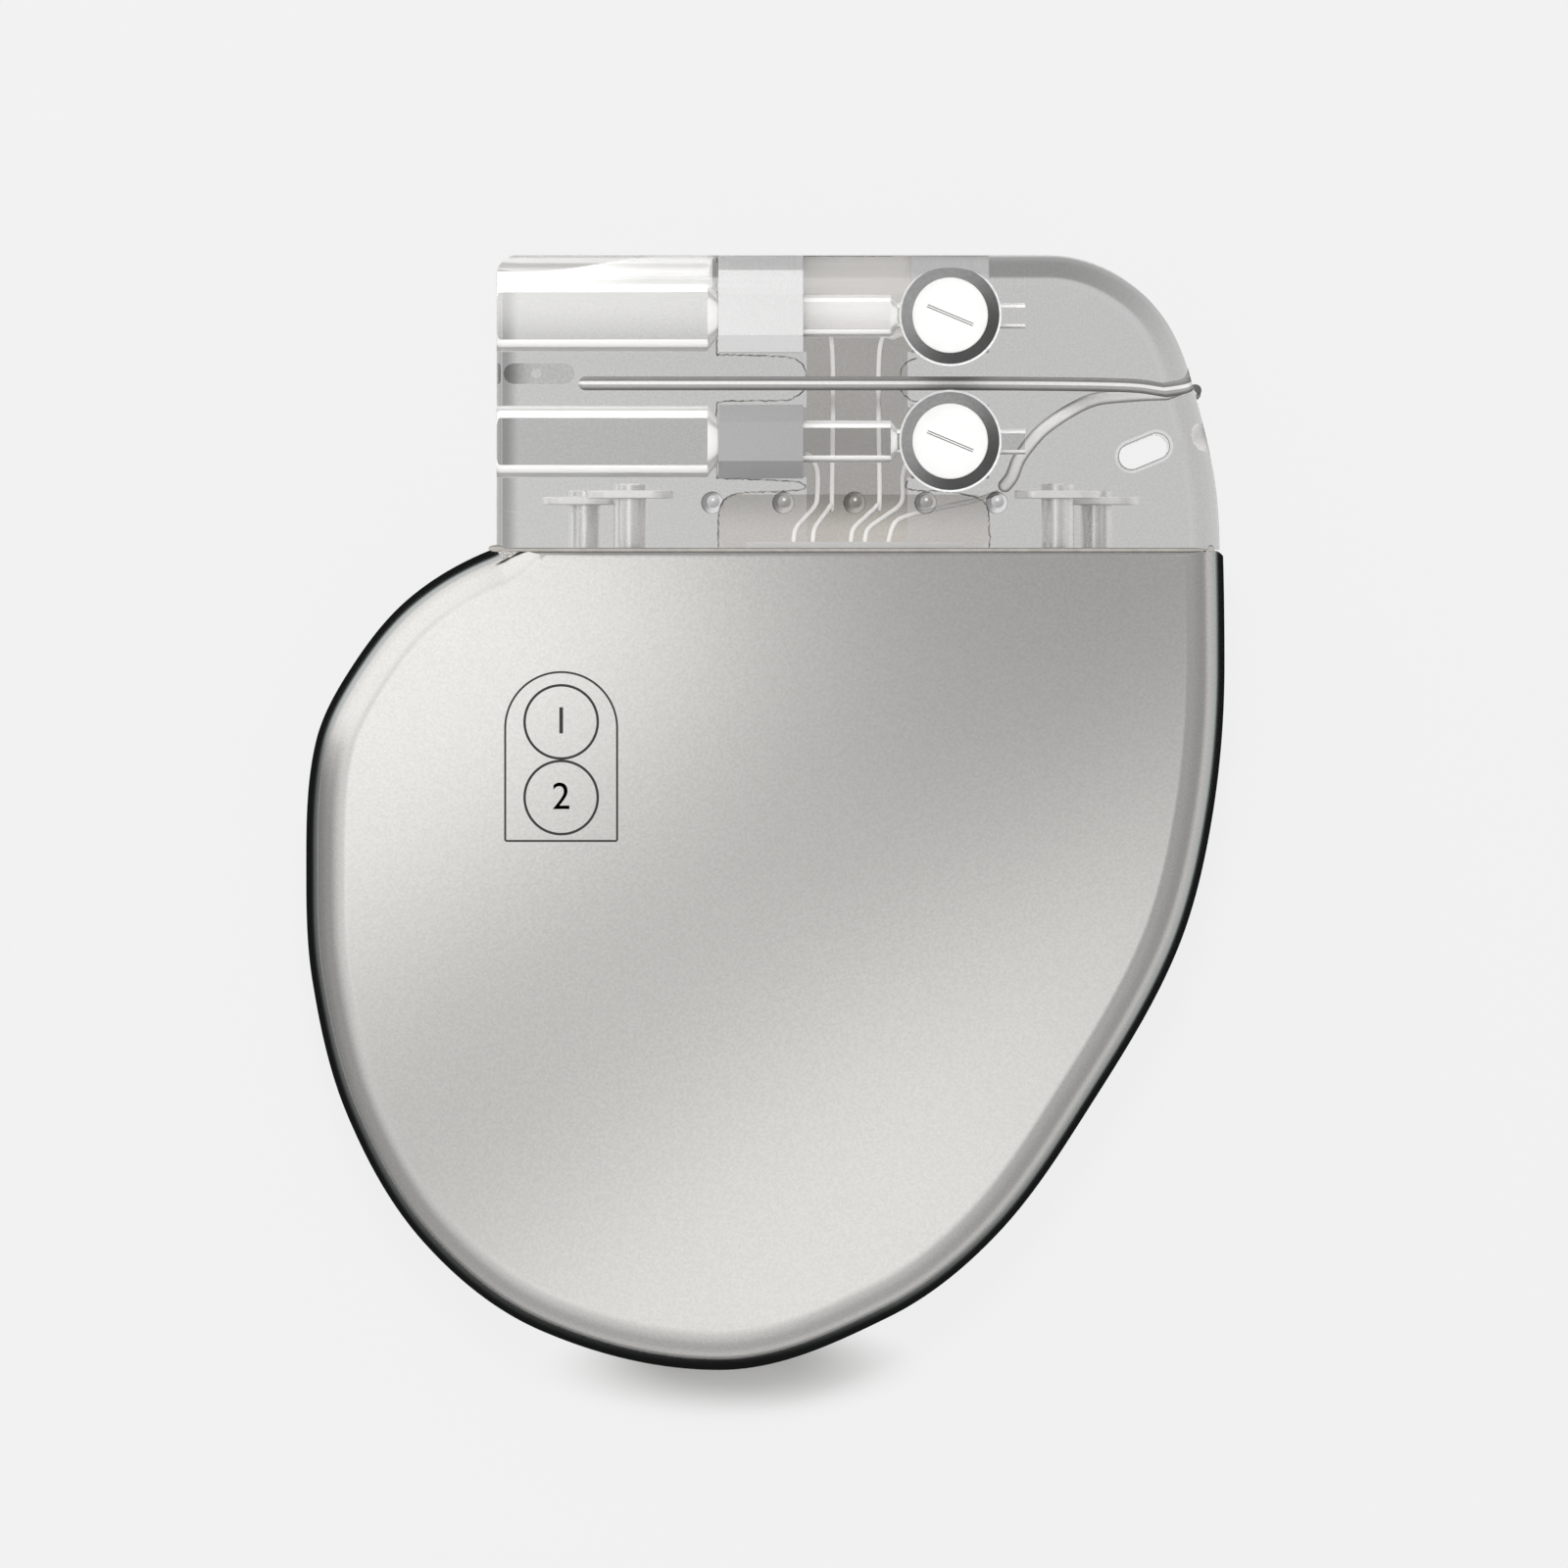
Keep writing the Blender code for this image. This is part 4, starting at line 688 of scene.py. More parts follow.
def turned(name, profile, place, along_x=False):
    """A turned solid: (radius, height) points spun about Z, or about X with height counted along it."""
    bm = bmesh.new()
    points = [bm.verts.new((radius, 0, height)) for radius, height in profile]
    edges = [bm.edges.new(pair) for pair in zip(points, points[1:])]
    turn = {"cent": (0, 0, 0), "axis": (0, 0, 1), "angle": math.tau, "steps": ROUND_SIDES}
    bmesh.ops.spin(bm, geom=points + edges, use_merge=True, **turn)
    bmesh.ops.remove_doubles(bm, verts=bm.verts, dist=0.001 * MM)
    bmesh.ops.recalc_face_normals(bm, faces=bm.faces)
    turn = Matrix.Rotation(math.pi / 2, 4, "Y") if along_x else Matrix.Identity(4)
    bm.transform(Matrix.Translation(place) @ turn)
    return object_from(name, bm)


def oblong(centre, length, width, angle):
    """Outline anchors of a slot shape: a strip with half-round ends."""
    half, radius = (length - width) / 2, width / 2
    corners = ((-half, -radius, 0), (half, -radius, 0), (half + radius, 0.0, 90))
    corners += ((half, radius, 180), (-half, radius, 180), (-half - radius, 0.0, -90))
    turn = Matrix.Rotation(angle, 2)
    placed = [(Vector(centre) + turn @ Vector(corner[:2]), corner[2]) for corner in corners]
    return [(point.x, point.y, heading + math.degrees(angle)) for point, heading in placed]


def header_at(shares):
    return port_face + shares[0] * header_width, can_top + shares[1] * header_height


header_anchors = [(*header_at((x, y)), turn) for x, y, turn in HEADER_OUTLINE_SHARES]
header = plate("header_clear", header_anchors, header_low.z, header_high.z, 0.0, HEADER_RIM)
left, bottom, top = port_face, header_foot - 1.5 * OVERRUN, header_high.y + FACE_DROP
port_side = rounded(left, bottom, can_width + PORT_CORNER, top, PORT_CORNER)
port_trim = plate("port_trim", port_side, header_low.z - FACE_DROP, header_high.z + FACE_DROP, 0.0, PORT_RIM)
trim_high = (can_width, header_high.y + OVERRUN, can_high.z + OVERRUN)
foot_trim = box("foot_trim", (-can_width, header_foot, -OVERRUN), trim_high)
header = cut(header, [port_trim, foot_trim], "INTERSECT")

hollows = []
over_top = header_high.z + OVERRUN
bore_profile = (
    (0.0, PIN_BORE_DEPTH),
    (PIN_BORE_R, PIN_BORE_DEPTH),
    (PIN_BORE_R, RING_BORE_DEPTH + RING_CONE),
    (RING_BORE_R, RING_BORE_DEPTH),
    (RING_BORE_R, REAR_BORE_DEPTH + REAR_CONE),
    (REAR_BORE_R, REAR_BORE_DEPTH),
    (REAR_BORE_R, -OVERRUN),
    (0.0, -OVERRUN),
)
slope = (WELL_RIM_R - plug_r) / WELL_CONE
for row, row_y in rows.items():
    well_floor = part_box(f"{row}_tip_block")[1].z - BLOCK_SKIN
    well_profile = (
        (0.0, over_top),
        (WELL_RIM_R + slope * OVERRUN, over_top),
        (plug_r - BLOCK_SKIN, plug_top - BLOCK_SKIN),
        (plug_r - BLOCK_SKIN, well_floor),
        (0.0, well_floor),
    )
    hollows.append(turned(f"{row}_bore", bore_profile, (port_face, row_y, mid_plane), along_x=True))
    hollows.append(turned(f"{row}_well", well_profile, (screw_x, row_y, 0.0)))
slot_centre = header_at(SLOT_CENTRE_SHARES)
slot_outline = oblong(slot_centre, SLOT_LENGTH, SLOT_WIDTH, SLOT_ANGLE)
hollows.append(plate("suture_hollow", slot_outline, header_low.z - OVERRUN, over_top))
lip_outline = oblong(slot_centre, SLOT_LENGTH + 2 * SLOT_LIP, SLOT_WIDTH + 2 * SLOT_LIP, SLOT_ANGLE)
hollows.append(plate("suture_lip", lip_outline, header_high.z - SLOT_LIP, over_top, 0.0, SLOT_LIP))
ball_r = (DIMPLE_R**2 + DIMPLE_DEPTH**2) / (2 * DIMPLE_DEPTH)
first_dimple, dimple_row = port_face + DIMPLE_INDENT, can_top + DIMPLE_HEIGHT
dimples = [(first_dimple + i * DIMPLE_PITCH, dimple_row) for i in range(DIMPLE_COUNT)]
for i, centre in enumerate(dimples, start=1):
    bm = bmesh.new()
    bmesh.ops.create_icosphere(bm, subdivisions=4, radius=ball_r)
    bmesh.ops.translate(bm, vec=(*centre, header_high.z + ball_r - DIMPLE_DEPTH), verts=bm.verts)
    hollows.append(object_from(f"dimple_{i}", bm))
header = cut(header, hollows)

# Each kind of face takes its own material, by its place and the way that it turns. Besides the
# clear moulding itself, they carry painted light and shade.
CLEAR, CONE, BACK, BORE, DIMPLE, LIP, SLOT = range(7)
slot_reach = SLOT_LENGTH / 2 + SLOT_LIP + FIT
for face in header.data.polygons:
    x, y, z = face.center
    below_top = plug_top + FACE_DROP < z < header_high.z - FACE_DROP
    by_well = any(
        math.dist((x, y), (screw_x, row_y)) < WELL_RIM_R and face.normal.xy.dot((screw_x - x, row_y - y)) > 0
        for row_y in rows.values()
    )
    in_bore = any(math.dist((y, z), (row_y, mid_plane)) < REAR_BORE_R + FACE_DROP for row_y in rows.values())
    in_bore = in_bore and port_face + FACE_DROP < x < port_face + PIN_BORE_DEPTH + FACE_DROP
    by_dimple = any(math.dist((x, y), place) < DIMPLE_R + FIT for place in dimples)
    by_slot = math.dist((x, y), slot_centre) < slot_reach
    if below_top and by_well:
        face.material_index = CONE
    elif face.normal.z < -0.99 and z < header_low.z + FACE_DROP:
        face.material_index = BACK
    elif in_bore and z < plug_top - 2 * BLOCK_SKIN:
        face.material_index = BORE
    elif below_top and by_dimple:
        face.material_index = DIMPLE
    elif by_slot and header_high.z - SLOT_LIP < z < header_high.z - FACE_DROP:
        face.material_index = LIP
    elif by_slot and abs(face.normal.z) < 0.1:
        face.material_index = SLOT


def let_light_in(tree, shader, level=0.98):
    """Show a clear surface that lamps and soft light pass straight, so that they reach what it covers."""
    path = add(tree, "LightPath")
    straight = maths(tree, "MAXIMUM", path.outputs["Is Shadow Ray"], path.outputs["Is Diffuse Ray"])
    show(tree, mix_shaders(tree, straight, shader, see_through(tree, (level, level, level, 1.0))))


# Clear polyurethane with fine specks and a faint ripple from the mould. Under its upper left edge a
# painted white streak stands in for total reflection, ribbed along its length and fading to the right.
clear, tree = new_material("clear_moulding")
place = object_place(tree)
specks = noise_of(tree, place, 1 / SPECK_SIZE, 2.0)
ripple = noise_of(tree, place, 300.0, 1.0)
inputs = {
    "Base Color": speckled(tree, (0.97, 0.97, 0.98), specks, 0.94, 1.0),
    "Roughness": 0.0,
    "IOR": 1.5,
    "Transmission Weight": 1.0,
    "Normal": add(tree, "Bump", {"Strength": 0.02, "Distance": 0.02 * MM, "Height": ripple}).outputs[0],
}
glass = add(tree, "BsdfPrincipled", inputs)
ahead, aside = along(tree, place, (0, 1, 0)), along(tree, place, (1, 0, 0))
# Painted reflection: the streak mixes white into the glass under the upper left edge.
wedge = ramp(tree, aside, STREAK_LEFT, STREAK_RIGHT, STREAK_LOW, header_high.y)
inside = maths(tree, "MULTIPLY_ADD", ahead, -1.0, wedge)
painted_streak = product(tree, ramp(tree, inside, *STREAK_SOFTNESS), ramp(tree, ahead, *STREAK_EDGE))
painted_streak = product(tree, painted_streak, ramp(tree, aside, *STREAK_END))
ribs = noise_of(tree, vector_maths(tree, "MULTIPLY", place, RIB_SCALES), 1.0, 2.0)
fade = product(tree, ramp(tree, aside, *STREAK_FADE, 0.95, 0.34), ramp(tree, ribs, 0.35, 0.6, 0.7, 1.0))
painted_streak = product(tree, painted_streak, fade)
white = all_round_white(tree, (0.86, 0.855, 0.845, 1.0))
let_light_in(tree, mix_shaders(tree, painted_streak, glass, white), 0.95)

# The wells' cones are painted: a dark ring of painted shade, lighter on the side that faces the
# light, and a painted highlight along the bright lip.
cone_material, tree = new_material("well_cone")
geometry = add(tree, "NewGeometry")
place = geometry.outputs["Position"]
lip = ramp(tree, along(tree, place, (0, 0, 1)), *(header_high.z - depth for depth in WELL_LIP))
shade = ramp(tree, along(tree, geometry.outputs["Normal"], (0.64, -0.77, 0.0)), -0.72, 0.75, 0.03, 0.36)
tint = speckled(tree, (0.99, 1.0, 1.0), noise_of(tree, place, 5000.0, 2.0), 0.85, 1.0)
tint = scaled(tree, tint, blend(tree, lip, shade, 0.95))
show(tree, add(tree, "BsdfPrincipled", {"Base Color": tint, "Roughness": 0.35}))

# The bores show clear in the middle, the lower one painted a little darker as painted shade. White
# bands of painted reflection stand in for total reflection where their walls curve away, each with
# a darker painted line. The upper bore's walls take painted light that grows towards the top, and
# each rear cone is painted white, brightest at its start.
bore_material, tree = new_material("bore_wall")
place = object_place(tree)
facing = add(tree, "LayerWeight", {"Blend": 0.5}).outputs["Facing"]
# Painted shade: the lower bore's clear middle is tinted darker than the upper one.
row_share = ramp(tree, along(tree, place, (0, 1, 0)), rows["lower"], rows["upper"], 0.90, 1.0)
middle = see_through(tree, scaled(tree, (1.0, 1.0, 1.0), row_share))
band_dark_line = product(tree, ramp(tree, facing, 0.48, 0.53), ramp(tree, facing, 0.63, 0.58))
level = maths(tree, "MULTIPLY_ADD", band_dark_line, -0.3, 0.86)
white = all_round_white(tree, scaled(tree, (1.0, 0.995, 0.98), level))
inward, height = along(tree, place, (1, 0, 0)), along(tree, place, (0, 1, 0))
cone_start, cone_end = port_face + REAR_BORE_DEPTH, port_face + REAR_BORE_DEPTH + REAR_CONE
# Painted light: white on the upper bore's walls, more towards the top, and on each rear cone.
haze_and_painted_light = ramp(tree, height, rows["upper"] - REAR_BORE_R, rows["upper"] + REAR_BORE_R, 0.0, 0.2)
ring_painted_light = ramp(tree, height, rows["upper"] - RING_BORE_R, rows["upper"] + RING_BORE_R, 0.06, 0.36)
ring_painted_light = product(tree, ring_painted_light, ramp(tree, height, rows["lower"], rows["upper"] - REAR_BORE_R))
ring_end = port_face + RING_BORE_DEPTH
ring_painted_light = product(tree, ring_painted_light, ramp(tree, inward, ring_end + RING_CONE, ring_end))
haze_and_painted_light = blend(tree, ramp(tree, inward, cone_end, cone_end + FIT), haze_and_painted_light, ring_painted_light)
on_cone = ramp(tree, inward, cone_start - FACE_DROP, cone_start)
on_cone = product(tree, on_cone, ramp(tree, inward, cone_end + FACE_DROP, cone_end))
first_line = ramp(tree, inward, *(cone_start + depth for depth in CONE_LINE), 0.5, 1.0)
haze_and_painted_light = maths(tree, "MAXIMUM", haze_and_painted_light, product(tree, on_cone, first_line))
turning = maths(tree, "MAXIMUM", ramp(tree, facing, 0.235, 0.27), haze_and_painted_light)
let_light_in(tree, mix_shaders(tree, turning, middle, white))

# Each dimple is a small lens drawn in painted light and shade: a pale ball in the middle, a dark
# crescent of painted shade on its left, a bright one on its right, and a painted glint.
dimple_material, tree = new_material("dimple_lens")
normal = add(tree, "NewGeometry").outputs["Normal"]
dimple_tilt = DIMPLE_R / ball_r
spot = vector_maths(tree, "MULTIPLY", normal, (-1 / dimple_tilt, -1 / dimple_tilt, 0.0))
offset = vector_maths(tree, "SUBTRACT", spot, (0.08, 0.12, 0.0))
ring = ramp(tree, along(tree, spot, (0.85, -0.5, 0.0)), -0.5, 0.45, 0.34, 0.86)
ball = ramp(tree, along(tree, offset, (-0.5, 0.85, 0.0)), -0.5, 0.5, 0.48, 0.74)
level = blend(tree, ramp(tree, length_of(tree, offset), 0.50, 0.62), ball, ring)
level = product(tree, level, ramp(tree, length_of(tree, spot), 0.84, 0.96, 1.0, 0.62))
clear_part = see_through(tree, scaled(tree, (1.0, 1.0, 1.0), level))
glint = white_film(tree, (1.0, 1.0, 1.0, 1.0))
offset = vector_maths(tree, "SUBTRACT", spot, (0.05, 0.3, 0.0))
share = ramp(tree, length_of(tree, offset), 0.08, 0.2, 0.6, 0.0)
let_light_in(tree, mix_shaders(tree, share, clear_part, glint))

# The suture slot has a small rounded lip, painted a little dark, with lines of painted shade along
# both of its edges.
lip_material, tree = new_material("slot_lip")
height = along(tree, add(tree, "NewGeometry").outputs["Position"], (0, 0, 1))
top_line = ramp(tree, height, *(header_high.z - depth for depth in LIP_TOP_LINE), 1.0, 0.7)
low_line = ramp(tree, height, *(header_high.z - depth for depth in LIP_LOW_LINE), 0.5, 1.0)
tint = scaled(tree, (0.82, 0.82, 0.82), product(tree, top_line, low_line))
let_light_in(tree, see_through(tree, tint))

# The slot's own wall is painted white and takes soft light on both of its sides: a painted pale
# patch that shows through the rounded rim.
wall_material, tree = new_material("slot_wall")
tint = speckled(tree, (0.92, 0.91, 0.90), noise_of(tree, object_place(tree), 5000.0, 2.0), 0.95, 1.0)
let_light_in(tree, all_round_white(tree, tint))

# The back face lies against the table and lets light out at every angle. A soft band of painted
# shade runs inside the port face, where the moulding turns its corner.
back_material, tree = new_material("moulded_back")
place = object_place(tree)
tint = speckled(tree, (0.98, 0.98, 0.98), noise_of(tree, place, 9000.0, 2.0), 0.93, 1.0)
inward = along(tree, place, (1, 0, 0))
band = ramp(tree, inward, *(port_face + depth for depth in PORT_BAND_START), 0.0, BAND_DARKNESS)
band = product(tree, band, ramp(tree, inward, *(port_face + depth for depth in PORT_BAND_END)))
show(tree, see_through(tree, scaled(tree, tint, maths(tree, "SUBTRACT", 1.0, band))))
header_materials = [clear, cone_material, back_material, bore_material, dimple_material, lip_material, wall_material]
finish_piece(header, header_materials, ["header_body"])

# Adhesive
# Clear medical adhesive poured into the wiring channel from the back. It shows as a warmer grey
# field, and a thin uneven bond line marks where it meets the moulding.
BOND_R = 0.037 * MM
BOND_LEVEL = 2.6 * MM
BOND_ROUGHNESS = 0.05 * MM
BOND_STEPS = 14
BOND_SEED = 7
FOOT_BEAD_R = 0.095 * MM
FOOT_BEAD_LEFT = -13.0 * MM
FOOT_BEAD_RIGHT = 21.55 * MM
FOOT_BEAD_Y = 12.73 * MM
FOOT_BEAD_STEPS = 40
COLUMN_LEFT = 2.0 * MM
COLUMN_RIGHT = 6.9 * MM
COLUMN_FLOOR = 2.45 * MM
COLUMN_CORNER = 0.8 * MM
BASE_RIGHT = 10.82 * MM
BASE_TOP = 15.45 * MM
BASE_FLOOR = 5.15 * MM
ARM_INSET = 0.08 * MM
FILL_LIFT = 0.03 * MM
BASE_EDGE = (13.5 * MM, 15.6 * MM)
TOP_EDGE = (24.8 * MM, 25.6 * MM)
HAZE_EDGE = (23.0 * MM, 23.2 * MM)
UNDERSIDE = (0.5 * MM, 1.0 * MM)
BOND_GRAIN = 0.16 * MM
DROP_HALF_WIDTH = 0.17 * MM
DROP_HALF_HEIGHT = 0.12 * MM
DROP_LIFT = 0.06 * MM
LEFT_BOND = (
    (-2.36, 25.3), (-2.36, 22.45), (-2.2, 22.22), (-1.2, 22.2), (0.9, 22.12), (1.55, 21.95), (1.92, 21.5),
    (1.92, 20.6), (1.42, 20.15), (0.9, 20.0), (-1.2, 19.98), (-2.15, 19.93), (-2.36, 19.7), (-2.36, 18.0),
    (-2.36, 16.45), (-2.15, 16.22), (-0.8, 16.18), (0.9, 16.1), (1.6, 16.05), (1.95, 15.83), (1.7, 15.67),
    (0.6, 15.58), (-0.8, 15.55), (-1.5, 15.45), (-1.95, 15.2), (-2.2, 14.85), (-2.28, 14.3), (-2.28, 12.85),
)
RIGHT_BOND = (
    (7.36, 22.05), (6.85, 21.85), (6.6, 21.5), (6.54, 21.0), (6.54, 20.55), (6.75, 20.25), (7.1, 20.0),
    (7.6, 19.93),
)
LOWER_RIGHT_BOND = (
    (6.84, 16.1), (6.85, 15.75), (7.5, 15.62), (8.7, 15.6), (9.6, 15.45), (10.3, 15.25), (10.75, 14.85),
    (10.85, 14.0), (10.87, 12.85),
)


def smooth_path(route, steps):
    """Points on a smooth curve through the route's own points."""
    path = []
    ends = [route[0], *route, route[-1]]
    for a, b, c, d in zip(ends, ends[1:], ends[2:], ends[3:]):
        a, b, c, d = Vector(a), Vector(b), Vector(c), Vector(d)
        for i in range(steps):
            t = i / steps
            cubic = (2 * a - 5 * b + 4 * c - d) * t**2 + (3 * b - a - 3 * c + d) * t**3
            path.append(0.5 * (2 * b + (c - a) * t + cubic))
    return path + [Vector(route[-1])]


def tube(name, points, radius, domed=False):
    """A round wire through the points, with flat or domed ends."""
    data = bpy.data.curves.new(name, "CURVE")
    data.dimensions = "3D"
    data.bevel_depth = radius
    data.bevel_resolution = 6
    data.use_fill_caps = True
    spline = data.splines.new("POLY")
    spline.points.add(len(points) - 1)
    reached = [0.0]
    for a, b in zip(points, points[1:]):
        reached.append(reached[-1] + (b - a).length)
    for point, place, distance in zip(spline.points, points, reached):
        point.co = (*place, 1.0)
        from_end = min(distance, reached[-1] - distance)
        if domed and from_end < radius:
            point.radius = max(0.25, math.sqrt(1 - (1 - from_end / radius) ** 2))
    return as_mesh(bpy.data.objects.new(name, data))


def bond_line(name, places):
    """An uneven thin line along a route given in millimetres."""
    noise.seed_set(BOND_SEED)
    path = smooth_path([(x * MM, y * MM, BOND_LEVEL) for x, y in places], BOND_STEPS)
    rough = [p + BOND_ROUGHNESS * noise.noise_vector(p / BOND_GRAIN) for p in path]
    return tube(name, rough, BOND_R)


adhesive, tree = new_material("medical_adhesive")
place = object_place(tree)
tint = speckled(tree, (0.99, 0.965, 0.93), noise_of(tree, place, 250.0, 2.0), 0.96, 1.0)
ahead = along(tree, place, (0, 1, 0))
depth = ramp(tree, ahead, *BASE_EDGE, 1.0, 0.71)
depth = blend(tree, ramp(tree, ahead, *TOP_EDGE), depth, 0.88)
under = product(tree, ramp(tree, along(tree, place, (0, 0, 1)), *UNDERSIDE), 0.9)
tints = {0: under, 6: scaled(tree, tint, depth), 7: (1.0, 1.0, 1.0, 1.0)}
clear_part = see_through(tree, add(tree, "Mix", tints, data_type="RGBA").outputs[2])
haze_and_painted_light = ramp(tree, ahead, *HAZE_EDGE, 0.0, 0.36)
show(tree, mix_shaders(tree, haze_and_painted_light, clear_part, white_film(tree, (0.93, 0.91, 0.88, 1.0))))

fill_low, fill_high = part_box("channel_adhesive")
ring_block, tip_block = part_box("upper_ring_block"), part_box("upper_tip_block")
half_block = (ring_block[1].y - ring_block[0].y) / 2 - ARM_INSET
column = rounded(COLUMN_LEFT, fill_low.y, COLUMN_RIGHT, fill_high.y, COLUMN_CORNER)
base = rounded(ring_block[0].x, fill_low.y, BASE_RIGHT, BASE_TOP, COLUMN_CORNER)
fill_floor = fill_low.z + FILL_LIFT
fill = plate("channel_fill", column, fill_floor, COLUMN_FLOOR)
parts = [plate("fill_base", base, fill_floor + FACE_DROP, BASE_FLOOR)]
for row_y in rows.values():
    low = (ring_block[0].x, row_y - half_block, fill_floor + 2 * FACE_DROP)
    parts.append(box("fill_arm", low, (tip_block[1].x, row_y + half_block, COLUMN_FLOOR - ARM_INSET)))
fill = cut(fill, parts, "UNION")
finish_piece(fill, [adhesive], ["channel_adhesive"])

bond, tree = new_material("bond_line")
tint = speckled(tree, (0.86, 0.85, 0.83), noise_of(tree, object_place(tree), 4000.0, 1.0), 0.5, 1.0)
show(tree, see_through(tree, tint))
for name, places in (("left_bond", LEFT_BOND), ("right_bond", RIGHT_BOND), ("lower_bond", LOWER_RIGHT_BOND)):
    finish_piece(bond_line(name, places), [bond])

# A bead of the same adhesive runs along the header's foot and ends in a small drop at each side.
foot_adhesive, tree = new_material("foot_adhesive")
normal = add(tree, "NewGeometry").outputs["Normal"]
tint = speckled(tree, (0.46, 0.44, 0.41), noise_of(tree, object_place(tree), 2500.0, 2.0), 0.85, 1.0)
# Painted shade: the bead is painted darker on its upper side.
tint = scaled(tree, tint, ramp(tree, along(tree, normal, (0, 1, 0)), 0.25, 0.6, 1.0, 0.55))
inputs = {"Base Color": tint, "Roughness": 0.35, "Normal": lifted(tree, 3.0)}
show(tree, add(tree, "BsdfPrincipled", inputs))
left_end = Vector((FOOT_BEAD_LEFT, FOOT_BEAD_Y, header_high.z))
right_end = Vector((FOOT_BEAD_RIGHT, FOOT_BEAD_Y, header_high.z))
line = [left_end.lerp(right_end, i / FOOT_BEAD_STEPS) for i in range(FOOT_BEAD_STEPS + 1)]
finish_piece(tube("foot_bead", line, FOOT_BEAD_R, domed=True), [foot_adhesive])
for name, x, half_length in (
    ("left_drop", FOOT_BEAD_LEFT, 0.4 * MM),
    ("right_drop", FOOT_BEAD_RIGHT, 0.16 * MM),
):
    bm = bmesh.new()
    bmesh.ops.create_uvsphere(bm, u_segments=32, v_segments=16, radius=1.0)
    bmesh.ops.scale(bm, vec=(half_length, DROP_HALF_WIDTH, DROP_HALF_HEIGHT), verts=bm.verts)
    bmesh.ops.translate(bm, vec=(x, FOOT_BEAD_Y + DROP_LIFT, header_high.z), verts=bm.verts)
    finish_piece(object_from(name, bm), [foot_adhesive])

# Contacts
# Octagonal bars of stainless steel on each bore. The ring block holds a canted spring and the
# tip block a set screw, over which a white silicone plug closes the well.
SLIT_LENGTH = 2.4 * MM
SLIT_LIP = 0.11 * MM
SLIT_LINE = 0.045 * MM
SLIT_DEPTH = 0.1 * MM
SLIT_ANGLE = math.radians(-22.7)
PLUG_EDGE = 0.05 * MM
# The blocks' colours are painted light and shade: lighter upper blocks, darker lower ones.
for contact, colour, roughness, metallic, lift in (
    ("upper_ring", (0.88, 0.88, 0.88), 0.2, 0.3, 2.0),
    ("lower_ring", (0.51, 0.51, 0.515), 0.3, 0.6, 1.0),
    ("upper_tip", (0.72, 0.72, 0.72), 0.3, 0.6, 1.0),
    ("lower_tip", (0.56, 0.56, 0.57), 0.3, 0.6, 1.0),
):
    steel = grained(f"{contact}_steel", colour, roughness, metallic, size=0.05 * MM, lift=lift)
    dress([f"{contact}_block"], steel)
for kind, name, colour, roughness in (
    ("ring_spring", "spring_wire", (0.80, 0.79, 0.76), 0.2),
    ("set_screw", "screw_steel", (0.70, 0.69, 0.67), 0.22),
):
    dress([f"upper_{kind}", f"lower_{kind}"], grained(name, colour, roughness, 1.0, size=0.03 * MM))
silicone = grained("white_silicone", (0.96, 0.96, 0.955), 0.55, size=0.9 * MM, contrast=0.03, relief=0.05)
# The slits' faces are painted dark, as painted shade in the cuts.
painted_slit_shade = grained("painted_slit_shade", (0.26, 0.26, 0.25), 0.6, size=0.05 * MM, contrast=0.2)
plug_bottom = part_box("upper_seal_plug")[0].z + FACE_DROP
for row, row_y in rows.items():
    profile = (
        (0.0, plug_top),
        (plug_r - PLUG_EDGE, plug_top),
        (plug_r, plug_top - PLUG_EDGE),
        (plug_r, plug_bottom),
        (0.0, plug_bottom),
    )
    plug = turned(f"{row}_plug", profile, (screw_x, row_y, 0.0))
    lines = []
    for side in (-1, 1):
        edge = side * SLIT_LIP / 2
        low = (-SLIT_LENGTH / 2, edge - SLIT_LINE / 2, -SLIT_DEPTH)
        line = box(f"{row}_slit", low, (SLIT_LENGTH / 2, edge + SLIT_LINE / 2, SLIT_DEPTH))
        turn = Matrix.Rotation(SLIT_ANGLE, 4, "Z")
        line.data.transform(Matrix.Translation((screw_x, row_y, plug_top)) @ turn)
        lines.append(line)
    plug = cut(plug, lines)
    for face in plug.data.polygons:
        in_slit = math.dist(face.center[:2], (screw_x, row_y)) < SLIT_LENGTH / 2 + FACE_DROP
        face.material_index = 1 if in_slit and plug_bottom < face.center.z < plug_top - FACE_DROP else 0
    finish_piece(plug, [silicone, painted_slit_shade], [f"{row}_seal_plug"])

# Lead wires
# Four bright wires rise from the feedthrough to the four contact blocks behind the bores. Each
# is bent by hand and spot welded at its block.
WIRE_R = 0.115 * MM
PIN_PLACES = (2.33 * MM, 3.26 * MM, 5.11 * MM, 5.79 * MM, 6.95 * MM)
COLUMN_PLACES = (3.47 * MM, 4.18 * MM, 6.49 * MM, 7.62 * MM)
WIRE_PLANE = 1.8 * MM
HOOK_PLANE = 2.05 * MM
RISE_START = 0.6 * MM
RISE_END = 2.7 * MM
RISE_SHARES = ((0.0, 0.0), (0.24, 0.1), (0.5, 0.5), (0.76, 0.9), (1.0, 1.0))
RING_HOOK_DROP = 0.52 * MM
TIP_HOOK_DROP = 0.8 * MM
HOOK_BEND = 0.9 * MM
HOOK_SAG_SHARE = 0.25
WIRE_STEPS = 10
ring_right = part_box("upper_ring_block")[1].x + FIT
tip_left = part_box("upper_tip_block")[0].x - FIT
flange_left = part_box("feedthrough_flange")[0].x
wire_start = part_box("lead_wire_1")[0].y
bright_wire = grained("bright_wire", (1.0, 0.99, 0.97), 0.4, 0.0, size=0.05 * MM, contrast=0.03, lift=3.0)
